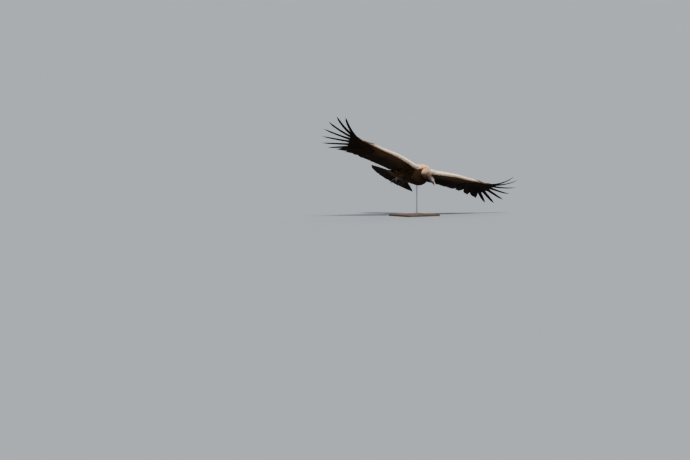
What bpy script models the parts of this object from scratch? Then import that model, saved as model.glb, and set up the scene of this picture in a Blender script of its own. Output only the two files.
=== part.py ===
"""A young Andean condor gliding in a left bank, life size, on a plain museum stand.

Metres, +Z up. The origin is the middle of the stand's underside. The bird heads along -Y and banks to
its left. It is modelled in a frame of its own, the bird frame: X towards its left wing, Y towards its
tail, Z up through its back, origin midway between the leading edges of the two wing roots.
"""

import math
import random

import bpy
from mathutils import Matrix, Vector

# Pose of the bird frame over the stand
PITCH = math.radians(12)
BANK = math.radians(18)
SHOULDERS = Vector((0.015, -0.185, 0.565))

# Gap kept between nodes that touch
GAP = 0.0003

# Wing: leading edge of the fleshy arm in the bird frame, from the root to the tip of the hand
ROOT_X = 0.125
WRIST_X = 0.655
HAND_TIP_X = 0.955
LEADING_EDGE = (
    (ROOT_X, 0.000, 0.000),
    (0.280, -0.034, 0.018),
    (0.460, -0.040, 0.042),
    (WRIST_X, -0.012, 0.064),
    (0.780, 0.004, 0.081),
    (HAND_TIP_X, 0.046, 0.102),
)
ARM_CHORD = (
    (ROOT_X, 0.215),
    (0.300, 0.170),
    (0.460, 0.140),
    (WRIST_X, 0.105),
    (0.780, 0.070),
    (HAND_TIP_X, 0.022),
)
ARM_DEPTH = (
    (ROOT_X, 0.050),
    (0.300, 0.042),
    (0.460, 0.034),
    (WRIST_X, 0.026),
    (0.780, 0.018),
    (HAND_TIP_X, 0.009),
)
REAR_DEPTH = 0.010
ARM_STATIONS = (ROOT_X, 0.20, 0.28, 0.36, 0.44, 0.52, 0.59, WRIST_X)
HAND_STATIONS = (WRIST_X + GAP, 0.70, 0.75, 0.80, 0.85, 0.91, HAND_TIP_X)
WING_DROOP = ((ROOT_X, 0.0), (0.40, 1.5), (WRIST_X, 5.0), (HAND_TIP_X, 8.0))

# Flight feathers of one wing. Primaries run from 1 beside the wrist to 10 at the leading edge
PRIMARY_TIPS = (
    (0.795, 0.388, 0.026),
    (0.918, 0.378, 0.014),
    (1.050, 0.376, 0.010),
    (1.185, 0.366, -0.012),
    (1.293, 0.334, 0.009),
    (1.360, 0.250, 0.058),
    (1.395, 0.184, 0.128),
    (1.405, 0.085, 0.196),
    (1.358, 0.000, 0.262),
    (1.262, -0.050, 0.266),
)
PRIMARY_START = (-7.0, -7.0, -7.5, -7.5, -6.0, -3.5, 0.0, 3.0, 5.0, 6.0)
BROAD_PRIMARIES = 3
PRIMARY_FREE = (0.80, 0.74, 0.54, 0.38, 0.34, 0.29, 0.24, 0.18, 0.12, 0.08)
FINGER_WIDTH = 0.52
FINGER_ROLL = (-6.0, -6.0, -8.0, -12.0, -13.0, -14.0, -13.0, -13.0, -15.0, -16.0)
PRIMARY_WIDTH = (0.092, 0.092, 0.088, 0.080, 0.076, 0.074, 0.074, 0.074, 0.072, 0.070)
SECONDARIES = 17
SECONDARY_LEAN = 17.0
TERTIALS = 3
SECONDARY_WIDTH = 0.064
TERTIAL_WIDTH = 0.072
TRAILING_EDGE = ((0.10, 0.400), (0.35, 0.405), (0.50, 0.400), (0.66, 0.395))
VANE_TILT = math.radians(4.2)
VANE_DEPTH = 0.0012

# Covert rows of the arm: count, share of the chord and height at the root, length, height at the tip, width
COVERT_LIFT = 0.0065
ARM_FEATHERS_FROM = ROOT_X + 0.046
ARM_FEATHERS_TO = WRIST_X - 0.030
ARM_COVERTS = (
    (11, 0.70, 0.008, 0.150, COVERT_LIFT, 0.060),
    (8, 0.36, 0.016, 0.116, 0.0155, 0.072),
    (8, 0.74, -0.007, 0.130, -COVERT_LIFT, 0.074),
)

# Covert rows of the hand: the primaries that carry one, length over the first, height, width
HAND_COVERT_TAPER = 0.045
HAND_COVERTS = (
    (range(8), 0.150, COVERT_LIFT, 0.046),
    (range(0, 8, 2), 0.130, -COVERT_LIFT, 0.064),
)

# Alula: x of each feather's root and its length
ALULA = ((0.745, 0.165), (0.722, 0.125))
ALULA_WIDTH = 0.034
ALULA_STEP = 0.005
ALULA_ROLL = math.radians(-12)

# Torso sections: y, height of the middle, half width, half height above and below, tilt of the plane
TORSO = (
    (-0.046, -0.066, 0.046, 0.046, 0.048, 38.0),
    (-0.026, -0.062, 0.074, 0.070, 0.066, 27.0),
    (0.010, -0.058, 0.098, 0.104, 0.088, 16.0),
    (0.055, -0.060, 0.112, 0.126, 0.108, 6.0),
    (0.105, -0.062, 0.115, 0.130, 0.120, 0.0),
    (0.170, -0.052, 0.109, 0.115, 0.116, 0.0),
    (0.245, -0.028, 0.094, 0.084, 0.100, 0.0),
    (0.320, -0.004, 0.078, 0.060, 0.078, 0.0),
    (0.395, 0.014, 0.066, 0.046, 0.054, 0.0),
    (0.465, 0.026, 0.058, 0.034, 0.034, 0.0),
)
THIGH = ((0.036, 0.190, -0.080), (0.050, 0.270, -0.090), (0.055, 0.345, -0.088))
THIGH_RADII = (0.036, 0.033, 0.0105)
THIGH_SIDES = 12
SHOULDER_STUB = ((0.040, 1.30), (0.090, 1.10), (ROOT_X - GAP, 1.0))

# Feathers over the shoulder: x and y of the root, height there, rise to the tip, length, width
SCAPULARS = (
    (0.092, 0.170, 0.0030, 0.000, 0.245, 0.056),
    (0.082, 0.160, 0.0054, 0.000, 0.238, 0.052),
    (0.088, 0.110, 0.0150, 0.002, 0.150, 0.054),
    (0.074, 0.150, 0.0150, 0.009, 0.150, 0.054),
)

# Tail
TAIL_Y = 0.4653
TAIL_Z = 0.026
TAIL_FEATHERS = 12
TAIL_SPREAD = math.radians(64)
TAIL_LENGTH = (0.388, 0.382, 0.374, 0.364, 0.354, 0.346)
TAIL_WIDTH = 0.082
TAIL_TWIST = math.radians(13.5)
TAIL_RISE = math.radians(5.0)
TAIL_ARCH = math.radians(9.5)
TAIL_STEP = 0.0019
TAIL_CORE = ((TAIL_Y, 0.058, 0.034), (0.490, 0.054, 0.028), (0.520, 0.044, 0.020), (0.545, 0.026, 0.010))
TAIL_COVERT_SPAN = 0.86
TAIL_COVERTS = ((9, 0.012, 0.150), (8, -0.016, 0.170))
TAIL_COVERT_WIDTH = 0.060

# Neck, ruff and head
NECK_DOWN = math.radians(38)
NECK_AT = Vector((0.0, -0.046, -0.066))
HEAD_AT = Vector((0.0, -0.125, -0.128))
HEAD_DOWN = math.radians(42)
NECK_RADIUS = 0.0290

# Ruff: the collar's profile as distance forward and radius, then its tiers of locks, each with its number,
# distance forward, lay in degrees and how far the tips turn back
COLLAR = (
    (0.000, 0.0296),
    (0.028, 0.0296),
    (0.033, 0.0340),
    (0.032, 0.0410),
    (0.022, 0.0500),
    (0.007, 0.0520),
    (0.000, 0.0450),
)
COLLAR_STEPS = 24
LOCK_ROOT = 0.040
LOCK_REACH = 0.037
LOCK_WIDTH = 0.023
LOCK_DEPTH = 0.0024
LOCK_TILT = math.radians(13)
RUFF_TIERS = ((19, 0.010, -2.0, 0.35), (18, 0.022, 24.0, 0.75))

# Sections of head and bill: distance forward, height, half width, half height above and below
HEAD = (
    (0.000, 0.000, 0.0250, 0.0250, 0.0250),
    (0.014, 0.001, 0.0285, 0.0270, 0.0270),
    (0.034, 0.002, 0.0310, 0.0285, 0.0290),
    (0.056, 0.001, 0.0310, 0.0280, 0.0285),
    (0.074, -0.001, 0.0285, 0.0250, 0.0265),
    (0.092, -0.003, 0.0215, 0.0200, 0.0225),
    (0.108, -0.004, 0.0155, 0.0175, 0.0185),
    (0.122, -0.004, 0.0130, 0.0165, 0.0165),
)
BILL_UPPER = (
    (0.1223, 0.0050, 0.0128, 0.0080, 0.0080),
    (0.134, 0.0040, 0.0115, 0.0080, 0.0080),
    (0.146, 0.0010, 0.0095, 0.0078, 0.0090),
    (0.156, -0.0060, 0.0070, 0.0075, 0.0090),
    (0.162, -0.0150, 0.0042, 0.0060, 0.0065),
    (0.1625, -0.0240, 0.0014, 0.0030, 0.0030),
)
BILL_LOWER = (
    (0.1223, -0.0122, 0.0116, 0.0080, 0.0082),
    (0.134, -0.0122, 0.0100, 0.0070, 0.0066),
    (0.143, -0.0138, 0.0072, 0.0054, 0.0046),
    (0.150, -0.0152, 0.0034, 0.0026, 0.0022),
)

# Features of the head, by distance forward, height and distance to the side
EYE_AT = (0.066, 0.0070, 0.0252)
EYE_RADIUS = 0.0072
LID_REACH = (0.0086, 0.0066)
LID_RADII = (0.0013, 0.0022, 0.0025, 0.0022, 0.0013)
NOSTRIL_AT = (0.110, 0.0045)
NOSTRIL_RADIUS = 0.0034
MOUTH_AT = (0.080, 0.126, -0.0045)
MOUTH_HEIGHT = 0.0012
MOUTH_INSIDE = (0.0235, 0.0135, 0.0105)

# Legs, tucked back under the tail
TARSUS = ((0.053, 0.388, -0.078), (0.051, 0.430, -0.064), (0.050, 0.468, -0.052))
TARSUS_RADII = (0.0105, 0.0095, 0.0088, 0.0100)

# Foot: steps of the palm's course from the ankle, then yaw, length and fall of each toe, the last one behind
PALM = ((0.0, 0.010, 0.003), (0.0, 0.024, 0.006), (0.0, 0.032, 0.007))
PALM_RADII = (0.0100, 0.0150, 0.0145, 0.0080)
TOE_FROM = Vector((0.0, 0.015, 0.004))
TOE_RADII = (0.0075, 0.0075, 0.0069, 0.0063, 0.0046)
TOE_CURL = math.radians(7)
TOES = ((-19.0, 0.074, -9.0), (0.0, 0.098, -3.0), (19.0, 0.070, -9.0))
HALLUX = (122.0, 0.030, -60.0)
CLAW_COURSE = ((0.0, 0.0), (0.013, -0.003), (0.021, -0.013))
CLAW_RADII = (0.0044, 0.0034, 0.0007)

# Stand
BASE_SIZE = (0.46, 0.40, 0.022)
ROD_RADIUS = 0.009
ROD_AT = (0.0, -0.045)
ROD_TOP = 0.425
BASE_SOCKET = 0.012
BASE_EDGE = 0.004
ROD_SIDES = 24

COLOURS = {
    "plumage": ((0.105, 0.062, 0.036), 0.85, 0.0),
    "quill": ((0.022, 0.017, 0.014), 0.60, 0.0),
    "down": ((0.52, 0.40, 0.28), 0.95, 0.0),
    "skin": ((0.075, 0.055, 0.050), 0.60, 0.0),
    "horn": ((0.33, 0.29, 0.24), 0.40, 0.0),
    "eye": ((0.030, 0.014, 0.008), 0.08, 0.0),
    "scutes": ((0.26, 0.23, 0.21), 0.60, 0.0),
    "claw": ((0.045, 0.038, 0.035), 0.35, 0.0),
    "wood": ((0.045, 0.036, 0.030), 0.45, 0.0),
    "steel": ((0.30, 0.30, 0.31), 0.30, 1.0),
}


def clear_scene():
    for obj in list(bpy.data.objects):
        bpy.data.objects.remove(obj, do_unlink=True)


def material(name):
    found = bpy.data.materials.get(name)
    if found:
        return found
    colour, roughness, metallic = COLOURS[name]
    made = bpy.data.materials.new(name)
    made.use_nodes = True
    shader = made.node_tree.nodes["Principled BSDF"]
    shader.inputs["Base Color"].default_value = (*colour, 1.0)
    shader.inputs["Roughness"].default_value = roughness
    shader.inputs["Metallic"].default_value = metallic
    return made


def between(table, x):
    """Value at x of a table of (x, value) pairs, straight between them and level past its ends."""
    if x <= table[0][0]:
        return table[0][1]
    for (x0, v0), (x1, v1) in zip(table, table[1:]):
        if x <= x1:
            return v0 + (v1 - v0) * (x - x0) / (x1 - x0)
    return table[-1][1]


def smooth(low, high, x):
    """0 below low, 1 above high, easing in and out between."""
    t = min(1.0, max(0.0, (x - low) / (high - low)))
    return t * t * (3 - 2 * t)


def spread(first, last, count):
    """Evenly spaced values from first to last."""
    return [first + (last - first) * i / (count - 1) for i in range(count)]


def curve_at(points, x):
    """Point at x on a smooth curve through points that are in order of x."""
    last = len(points) - 1
    i = max(k for k in range(last) if x >= points[k][0] or k == 0)
    a, b = Vector(points[i]), Vector(points[i + 1])
    before, after = Vector(points[max(i - 1, 0)]), Vector(points[min(i + 2, last)])
    start = (b - before) * ((b.x - a.x) / (b.x - before.x))
    end = (after - a) * ((b.x - a.x) / (after.x - a.x))
    t = (x - a.x) / (b.x - a.x)
    return (
        a * (2 * t**3 - 3 * t**2 + 1)
        + start * (t**3 - 2 * t**2 + t)
        + b * (3 * t**2 - 2 * t**3)
        + end * (t**3 - t**2)
    )


def add_object(name, points, faces, side=1):
    """A mesh object from its points and faces, mirrored across X when side is -1."""
    if side < 0:
        points = [(-p[0], p[1], p[2]) for p in points]
        faces = [tuple(reversed(f)) for f in faces]
    mesh = bpy.data.meshes.new(name)
    mesh.from_pydata([tuple(p) for p in points], [], faces)
    mesh.update()
    obj = bpy.data.objects.new(name, mesh)
    bpy.context.scene.collection.objects.link(obj)
    return obj


def loft(name, rings, side=1):
    """A closed skin over rings of equal length, which run clockwise seen from the first ring's outside."""
    count = len(rings[0])
    points = [p for ring in rings for p in ring]
    faces = []
    for i in range(len(rings) - 1):
        for j in range(count):
            k = (j + 1) % count
            faces.append((i * count + j, i * count + k, (i + 1) * count + k, (i + 1) * count + j))
    faces.append(tuple(range(count - 1, -1, -1)))
    faces.append(tuple((len(rings) - 1) * count + j for j in range(count)))
    return add_object(name, points, faces, side)


def fuse(base, pieces):
    """Joins pieces to base in one Boolean union, and keeps the largest closed surface."""
    cutters = bpy.data.collections.new(base.name + "_pieces")
    for piece in pieces:
        cutters.objects.link(piece)
    join = base.modifiers.new("join", "BOOLEAN")
    join.operand_type = "COLLECTION"
    join.collection = cutters
    join.operation = "UNION"
    join.solver = "MANIFOLD"
    apply_modifiers(base)
    for piece in pieces:
        bpy.data.objects.remove(piece, do_unlink=True)
    bpy.data.collections.remove(cutters)
    keep_largest(base)
    return base


def cut(base, cutter):
    """Takes cutter out of base and removes the cutter."""
    carve = base.modifiers.new("carve", "BOOLEAN")
    carve.object = cutter
    carve.operation = "DIFFERENCE"
    carve.solver = "MANIFOLD"
    apply_modifiers(base)
    bpy.data.objects.remove(cutter, do_unlink=True)
    keep_largest(base)
    return base


def apply_modifiers(obj):
    graph = bpy.context.evaluated_depsgraph_get()
    graph.update()
    made = bpy.data.meshes.new_from_object(obj.evaluated_get(graph))
    obj.modifiers.clear()
    old = obj.data
    obj.data = made
    bpy.data.meshes.remove(old)
    made.name = obj.name


def keep_largest(obj):
    """Drops every closed surface of the mesh but the one of the largest volume."""
    mesh = obj.data
    parent = list(range(len(mesh.vertices)))

    def top(v):
        while parent[v] != v:
            parent[v] = parent[parent[v]]
            v = parent[v]
        return v

    for edge in mesh.edges:
        a, b = top(edge.vertices[0]), top(edge.vertices[1])
        parent[a] = b
    volume = {}
    mesh.calc_loop_triangles()
    for tri in mesh.loop_triangles:
        a, b, c = (mesh.vertices[v].co for v in tri.vertices)
        key = top(tri.vertices[0])
        volume[key] = volume.get(key, 0.0) + a.dot(b.cross(c)) / 6
    if len(volume) < 2:
        return
    best = max(volume, key=volume.get)
    index, points = {}, []
    for v in mesh.vertices:
        if top(v.index) == best:
            index[v.index] = len(points)
            points.append(tuple(v.co))
    faces = [tuple(index[v] for v in p.vertices) for p in mesh.polygons if p.vertices[0] in index]
    kept = bpy.data.meshes.new(obj.name)
    kept.from_pydata(points, [], faces)
    kept.update()
    obj.data = kept
    bpy.data.meshes.remove(mesh)


def finish(obj, bird, colour, smooth_angle=40):
    """Gives a node its material and shading, and hangs it on the bird frame."""
    obj.data.materials.clear()
    obj.data.materials.append(material(colour))
    obj.data.shade_smooth()
    obj.data.set_sharp_from_angle(angle=math.radians(smooth_angle))
    if bird:
        obj.parent = bird
    return obj


# Feathers

BROAD_OUTLINE = ((0.0, 0.42), (0.20, 0.94), (0.60, 1.0), (0.85, 0.88), (0.96, 0.56), (1.0, 0.16))
SECONDARY_OUTLINE = ((0.0, 0.30), (0.24, 0.90), (0.80, 1.0), (0.95, 0.72), (1.0, 0.26))
TAIL_OUTLINE = ((0.0, 0.16), (0.24, 0.50), (0.60, 0.88), (0.92, 1.0), (1.0, 0.42))
COVERT_OUTLINE = ((0.0, 0.60), (0.55, 1.0), (0.87, 0.74), (1.0, 0.26))
LOCK_OUTLINE = ((0.0, 0.75), (0.40, 1.0), (0.76, 0.70), (1.0, 0.16))


class Rachis:
    """Course of a feather's shaft, which leaves the root along start and reaches the tip along end."""

    def __init__(self, root, tip, start, end, up, roll=None):
        self.root, self.tip, self.up = Vector(root), Vector(tip), Vector(up)
        self.length = (self.tip - self.root).length
        self.near = self.root + Vector(start).normalized() * self.length / 3
        self.far = self.tip - Vector(end).normalized() * self.length / 3
        self.roll = roll or (lambda t: -VANE_TILT)

    def station(self, t):
        """(point, sideways, upwards) of the vane at this share of the length."""
        a, b, c, d = self.root, self.near, self.far, self.tip
        u = 1 - t
        point = a * u**3 + b * (3 * u * u * t) + c * (3 * u * t * t) + d * t**3
        along = ((b - a) * u * u + (c - b) * (2 * u * t) + (d - c) * t * t).normalized()
        side = along.cross(self.up).normalized()
        up = side.cross(along)
        roll = self.roll(t)
        return point, side * math.cos(roll) - up * math.sin(roll), up * math.cos(roll) + side * math.sin(roll)


def vane(name, rachis, width, outline, lead=0.45, depth=VANE_DEPTH, side=1):
    """One feather as a closed plate. Both faces are split into triangles along the same diagonals."""
    points = []
    for t, share in outline:
        p, across, up = rachis.station(t)
        reach = width * share
        ahead, behind = p + across * reach * lead, p - across * reach * (1 - lead)
        half = up * (depth / 2)
        points += [ahead + half, behind + half, behind - half, ahead - half]
    faces = []
    for i in range(len(outline) - 1):
        for j in range(4):
            a, b = i * 4 + j, i * 4 + (j + 1) % 4
            c, d = b + 4, a + 4
            if j < 2:
                faces += [(a, c, b), (a, d, c)]
            else:
                faces += [(a, d, b), (b, d, c)]
    last = (len(outline) - 1) * 4
    faces += [(0, 1, 2), (0, 2, 3), (last, last + 2, last + 1), (last, last + 3, last + 2)]
    return add_object(name, points, faces, side)


# Wings


def wing_axes(x):
    """Leading-edge point, outward, backward and upward directions of the wing at x."""
    step = 0.004
    low, high = max(ROOT_X, x - step), min(HAND_TIP_X, x + step)
    rise = (curve_at(LEADING_EDGE, high) - curve_at(LEADING_EDGE, low)) / (high - low)
    droop = math.radians(between(WING_DROOP, x))
    back = Vector((0.0, math.cos(droop), -math.sin(droop)))
    out = Vector((1.0, 0.0, rise.z)).normalized()
    return curve_at(LEADING_EDGE, x), out, back, out.cross(back).normalized()


def arm_height(share, depth, rear):
    """Half depth of the arm's section at this share of its chord."""
    wing_section = 5 * (
        0.2969 * math.sqrt(share) - 0.1260 * share - 0.3516 * share**2 + 0.2843 * share**3 - 0.1036 * share**4
    )
    return depth * wing_section + rear / 2 * share


ARM_SHARES = (0.0, 0.05, 0.18, 0.40, 0.70, 1.0)


def arm_ring(x, at_x=None, grow=1.0):
    """Section of the fleshy arm in the plane X = x, or that section moved to at_x and made larger."""
    edge, _, back, _ = wing_axes(x)
    up = Vector((0.0, -back.z, back.y))
    chord, depth = between(ARM_CHORD, x), between(ARM_DEPTH, x)
    rear = min(REAR_DEPTH, depth * 0.6)
    top = [(s, arm_height(s, depth, rear) * grow) for s in ARM_SHARES]
    ring = [edge + back * (s * chord) + up * h for s, h in top]
    ring += [edge + back * (s * chord) - up * h * 0.9 for s, h in reversed(top[1:])]
    ring.reverse()
    if at_x is not None:
        for p in ring:
            p.x = at_x
    return ring


def surface_point(x, share, height):
    """Point of the wing at x, at this share of the arm's chord, height above its middle."""
    edge, _, back, up = wing_axes(x)
    return edge + back * (share * between(ARM_CHORD, x)) + up * height


def secondary_places():
    """X of each secondary and tertial root, from the wrist inwards."""
    return spread(ARM_FEATHERS_TO, ARM_FEATHERS_FROM, SECONDARIES + TERTIALS)


def secondary(x):
    """Rachis of the secondary whose root is at x."""
    _, out, back, up = wing_axes(x)
    lean = math.radians(SECONDARY_LEAN * smooth(0.34, WRIST_X, x))
    along = back * math.cos(lean) + out * math.sin(lean)
    root = surface_point(x, 1.0, 0.0) - along * 0.030
    length = (between(TRAILING_EDGE, x) - root.y) / along.y
    length *= 1 - 0.20 * smooth(0.24, ROOT_X, x)
    end = along - up * 0.06
    return Rachis(root, root + along * length - up * 0.02 * length, along, end, up)


def primary_root(i):
    """Root of primary i, with 0 beside the wrist."""
    share = i / (len(PRIMARY_TIPS) - 1)
    x = WRIST_X + 0.028 + (HAND_TIP_X - 0.040 - WRIST_X) * share
    return surface_point(x, 0.80 - 0.12 * share, 0.0)


def primary_start(i):
    """Direction in which primary i leaves the hand."""
    root = primary_root(i)
    ahead = Vector(PRIMARY_TIPS[i]) - root
    flat = Vector((ahead.x, ahead.y, 0.0)).normalized()
    rise = math.radians(PRIMARY_START[i])
    return flat * math.cos(rise) + Vector((0, 0, math.sin(rise)))


def primary_plane(i):
    """Sideways and upward directions square to primary i's start, and the roll that its neighbours give it."""
    start = primary_start(i)
    low, high = max(0, i - 1), min(len(PRIMARY_TIPS) - 1, i + 1)
    across = primary_root(high) + primary_start(high) * 0.2 - primary_root(low) - primary_start(low) * 0.2
    across = (across - start * across.dot(start)).normalized()
    level_side = start.cross(Vector((0, 0, 1))).normalized()
    level_up = level_side.cross(start)
    roll = -math.atan2(across.dot(level_up), across.dot(level_side)) - VANE_TILT
    return level_side, level_up, roll


def primary(i):
    """Rachis of primary i. Its base lies in the surface its neighbours span, and it rolls free further out."""
    root, tip, start = primary_root(i), Vector(PRIMARY_TIPS[i]), primary_start(i)
    end = tip - root - start * (tip - root).length * 0.55
    _, level_up, base_roll = primary_plane(i)
    free_roll = math.radians(FINGER_ROLL[i])
    free = PRIMARY_FREE[i]

    def roll(t):
        return base_roll + (free_roll - base_roll) * smooth(free, free + 0.35, t)

    return Rachis(root, tip, start, end, level_up, roll)


def primary_covert(i, length, lift):
    """Rachis of the covert over primary i, or under it where lift is below zero."""
    root, start = primary_root(i), primary_start(i)
    level_side, level_up, base_roll = primary_plane(i)
    up = level_up * math.cos(base_roll) + level_side * math.sin(base_roll)
    base = root + up * lift * 0.5 - start * 0.012
    return Rachis(base, root + start * length + up * lift, start, start, level_up, lambda t: base_roll)


def primary_outline(i):
    """Outline of primary i: a broad rounded vane beside the wrist, further out notched to a narrow finger."""
    if i < BROAD_PRIMARIES:
        return BROAD_OUTLINE
    free = PRIMARY_FREE[i]
    early = 0.84 if i > 6 else 1.0
    return (
        (0.0, 0.20),
        (free * 0.45, 0.86 * early),
        (free, early),
        (free + 0.14, FINGER_WIDTH),
        (0.5 * (1.15 + free), FINGER_WIDTH * 0.90),
        (0.94, FINGER_WIDTH * 0.60),
        (1.0, 0.14),
    )


def covert(x, share, rise, length, above, sink=0.010):
    """Rachis of a covert rooted at this share of the chord, ending this far above the middle of the wing."""
    _, _, back, up = wing_axes(x)
    edge = surface_point(x, share, rise)
    end = surface_point(x, share, above) + back * length
    along = (end - edge).normalized()
    return Rachis(edge - along * sink, end, along, along, up)


def inner_wing(side, name):
    arm = loft(name, [arm_ring(x) for x in ARM_STATIONS], side)
    pieces = []
    for i, x in enumerate(secondary_places()):
        width = SECONDARY_WIDTH if i < SECONDARIES else TERTIAL_WIDTH
        pieces.append(vane(f"secondary_{i}", secondary(x), width, SECONDARY_OUTLINE, 0.42, side=side))
    for count, share, rise, length, above, width in ARM_COVERTS:
        for x in spread(ARM_FEATHERS_TO, ARM_FEATHERS_FROM, count):
            thin = between(ARM_DEPTH, x) / ARM_DEPTH[0][1]
            rachis = covert(x, share, rise * (0.35 + 0.65 * thin), length, above * (0.7 + 0.3 * thin))
            pieces.append(vane("covert", rachis, width, COVERT_OUTLINE, 0.45, side=side))
    return fuse(arm, pieces)


def outer_wing(side, name):
    hand = loft(name, [arm_ring(x) for x in HAND_STATIONS], side)
    pieces = []
    for i, width in enumerate(PRIMARY_WIDTH):
        lead = 0.42 - 0.014 * i
        pieces.append(vane(f"primary_{i}", primary(i), width, primary_outline(i), lead, side=side))
    for places, length, lift, width in HAND_COVERTS:
        for i in places:
            rachis = primary_covert(i, length * (1 - HAND_COVERT_TAPER * i), lift)
            pieces.append(vane("primary_covert", rachis, width, COVERT_OUTLINE, 0.42, side=side))
    for i, (x, length) in enumerate(ALULA):
        _, out, back, up = wing_axes(x)
        along = (out + back * 0.20 - up * 0.03).normalized()
        root = surface_point(x, 0.10, 0.002 + ALULA_STEP * i)
        rachis = Rachis(root, root + along * length, along, along + up * 0.05, up, lambda t: ALULA_ROLL)
        pieces.append(vane("alula", rachis, ALULA_WIDTH, COVERT_OUTLINE, 0.5, side=side))
    return fuse(hand, pieces)


# Body


def ring(centre, axis, up, width, above, below, count):
    """Oval of half widths and heights about centre, running right-handed about axis."""
    side = up.cross(axis)
    points = []
    for k in range(count):
        angle = 2 * math.pi * k / count
        height = above if math.sin(angle) > 0 else below
        points.append(centre + side * width * math.cos(angle) + up * height * math.sin(angle))
    return points


def tube(name, course, radii, count, side=1, flat=1.0, first=None):
    """A round limb along course, its ends square to it or its start square to first."""
    course = [Vector(p) for p in course]
    rings = []
    for i, (p, r) in enumerate(zip(course, radii)):
        axis = (course[min(i + 1, len(course) - 1)] - course[max(i - 1, 0)]).normalized()
        if first and i == 0:
            axis = first
        side_way = axis.cross(Vector((0, 0, 1)))
        if side_way.length < 0.1:
            side_way = axis.cross(Vector((0, 1, 0)))
        up = side_way.normalized().cross(axis)
        rings.append(ring(p, axis, up, r, r * flat, r * flat, count))
    return loft(name, rings, side)


def ball(name, centre, radius, segments=12, rings=7):
    bpy.ops.mesh.primitive_uv_sphere_add(segments=segments, ring_count=rings, radius=radius)
    obj = bpy.context.object
    obj.name = name
    obj.data.transform(Matrix.Translation(centre))
    return obj


def torso(name):
    rings = []
    for y, z, width, above, below, tilt in TORSO:
        angle = math.radians(tilt)
        axis = Vector((0, math.cos(angle), math.sin(angle)))
        up = Vector((0, -math.sin(angle), math.cos(angle)))
        rings.append(ring(Vector((0, y, z)), axis, up, width, above, below, 20))
    body = loft(name, rings)
    pieces = []
    for side in (1, -1):
        stub = [arm_ring(ROOT_X, at_x=x, grow=grow) for x, grow in SHOULDER_STUB]
        pieces.append(loft("shoulder", stub, side))
        pieces.append(tube("thigh", THIGH, THIGH_RADII, THIGH_SIDES, side))
        for x, y, z, rise, length, width in SCAPULARS:
            root = Vector((x, y, z))
            course = Vector((0.03 * length, length, rise))
            rachis = Rachis(root, root + course, course, course, Vector((0, 0, 1)))
            pieces.append(vane("scapular", rachis, width, COVERT_OUTLINE, 0.5, side=side))
    return fuse(body, pieces)


def tail_turn(point):
    """Point of the tail after its twist about the tail's own middle line."""
    x, z = point.x, point.z - TAIL_Z
    share = smooth(TAIL_Y, TAIL_Y + 0.06, point.y)
    c, s = math.cos(TAIL_TWIST * share), math.sin(TAIL_TWIST * share)
    return Vector((x * c + z * s, point.y, TAIL_Z - x * s + z * c))


def tail_feather(share, length, lift):
    """Rachis of a feather of the fan, share -1 to 1 across it."""
    fan = share * TAIL_SPREAD
    slope = TAIL_RISE - TAIL_ARCH * share * share
    along = Vector((math.sin(fan) * math.cos(slope), math.cos(fan) * math.cos(slope), math.sin(slope)))
    root = Vector((share * 0.030, TAIL_Y + 0.018, TAIL_Z + lift))
    end = along - Vector((0, 0, 0.05))
    roll = math.atan2(share * math.sin(TAIL_ARCH) * 1.6, 1.0)
    tip = root + along * length
    turned_root, turned_tip = tail_turn(root), tail_turn(tip)
    start = tail_turn(root + along * 0.01 + Vector((0, 0.1, 0))) - tail_turn(root + Vector((0, 0.1, 0)))
    finish_way = tail_turn(tip + end * 0.01) - tail_turn(tip)
    up = Vector((math.sin(TAIL_TWIST), 0, math.cos(TAIL_TWIST)))
    return Rachis(turned_root, turned_tip, start, finish_way, up, lambda t: roll)


def tail(name):
    rings = []
    for y, width, height in TAIL_CORE:
        twist = TAIL_TWIST * smooth(TAIL_Y, TAIL_Y + 0.06, y)
        up = Vector((math.sin(twist), 0.0, math.cos(twist)))
        middle = Vector((0, y, TAIL_Z + 0.10 * (y - TAIL_Y)))
        rings.append(ring(middle, Vector((0, 1, 0)), up, width, height, height, 20))
    core = loft(name, rings)
    pieces = []
    half = TAIL_FEATHERS // 2
    for i in range(half):
        share = (i + 0.5) / half
        for side in (1, -1):
            lift = -TAIL_STEP * (i + (0.5 if side < 0 else 0.0)) + 0.004
            rachis = tail_feather(side * share * 0.96, TAIL_LENGTH[i], lift)
            lead = 0.5 + 0.10 * side if i else 0.5
            pieces.append(vane(f"rectrix_{i}", rachis, TAIL_WIDTH, TAIL_OUTLINE, lead))
    for count, lift, length in TAIL_COVERTS:
        for share in spread(-TAIL_COVERT_SPAN, TAIL_COVERT_SPAN, count):
            fall = -TAIL_STEP * abs(share) * half
            rachis = tail_feather(share, length, lift + fall)
            pieces.append(vane("tail_covert", rachis, TAIL_COVERT_WIDTH, COVERT_OUTLINE, 0.5))
    return fuse(core, pieces)


def neck_frame(down):
    """Forward and upward directions of something pointing this far below level."""
    return Vector((0, -math.cos(down), -math.sin(down))), Vector((0, -math.sin(down), math.cos(down)))


def neck(name):
    forward, _ = neck_frame(NECK_DOWN)
    head_forward, _ = neck_frame(HEAD_DOWN)
    start, end = NECK_AT + forward * GAP, HEAD_AT - head_forward * GAP
    rings = []
    for k in range(5):
        t = k / 4
        bend = NECK_DOWN + (HEAD_DOWN - NECK_DOWN) * t
        axis, up = neck_frame(bend)
        radius = NECK_RADIUS + (HEAD[0][2] - NECK_RADIUS) * t
        rings.append(ring(start.lerp(end, t), axis, up, radius, radius, radius, 16))
    return loft(name, rings)


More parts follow.
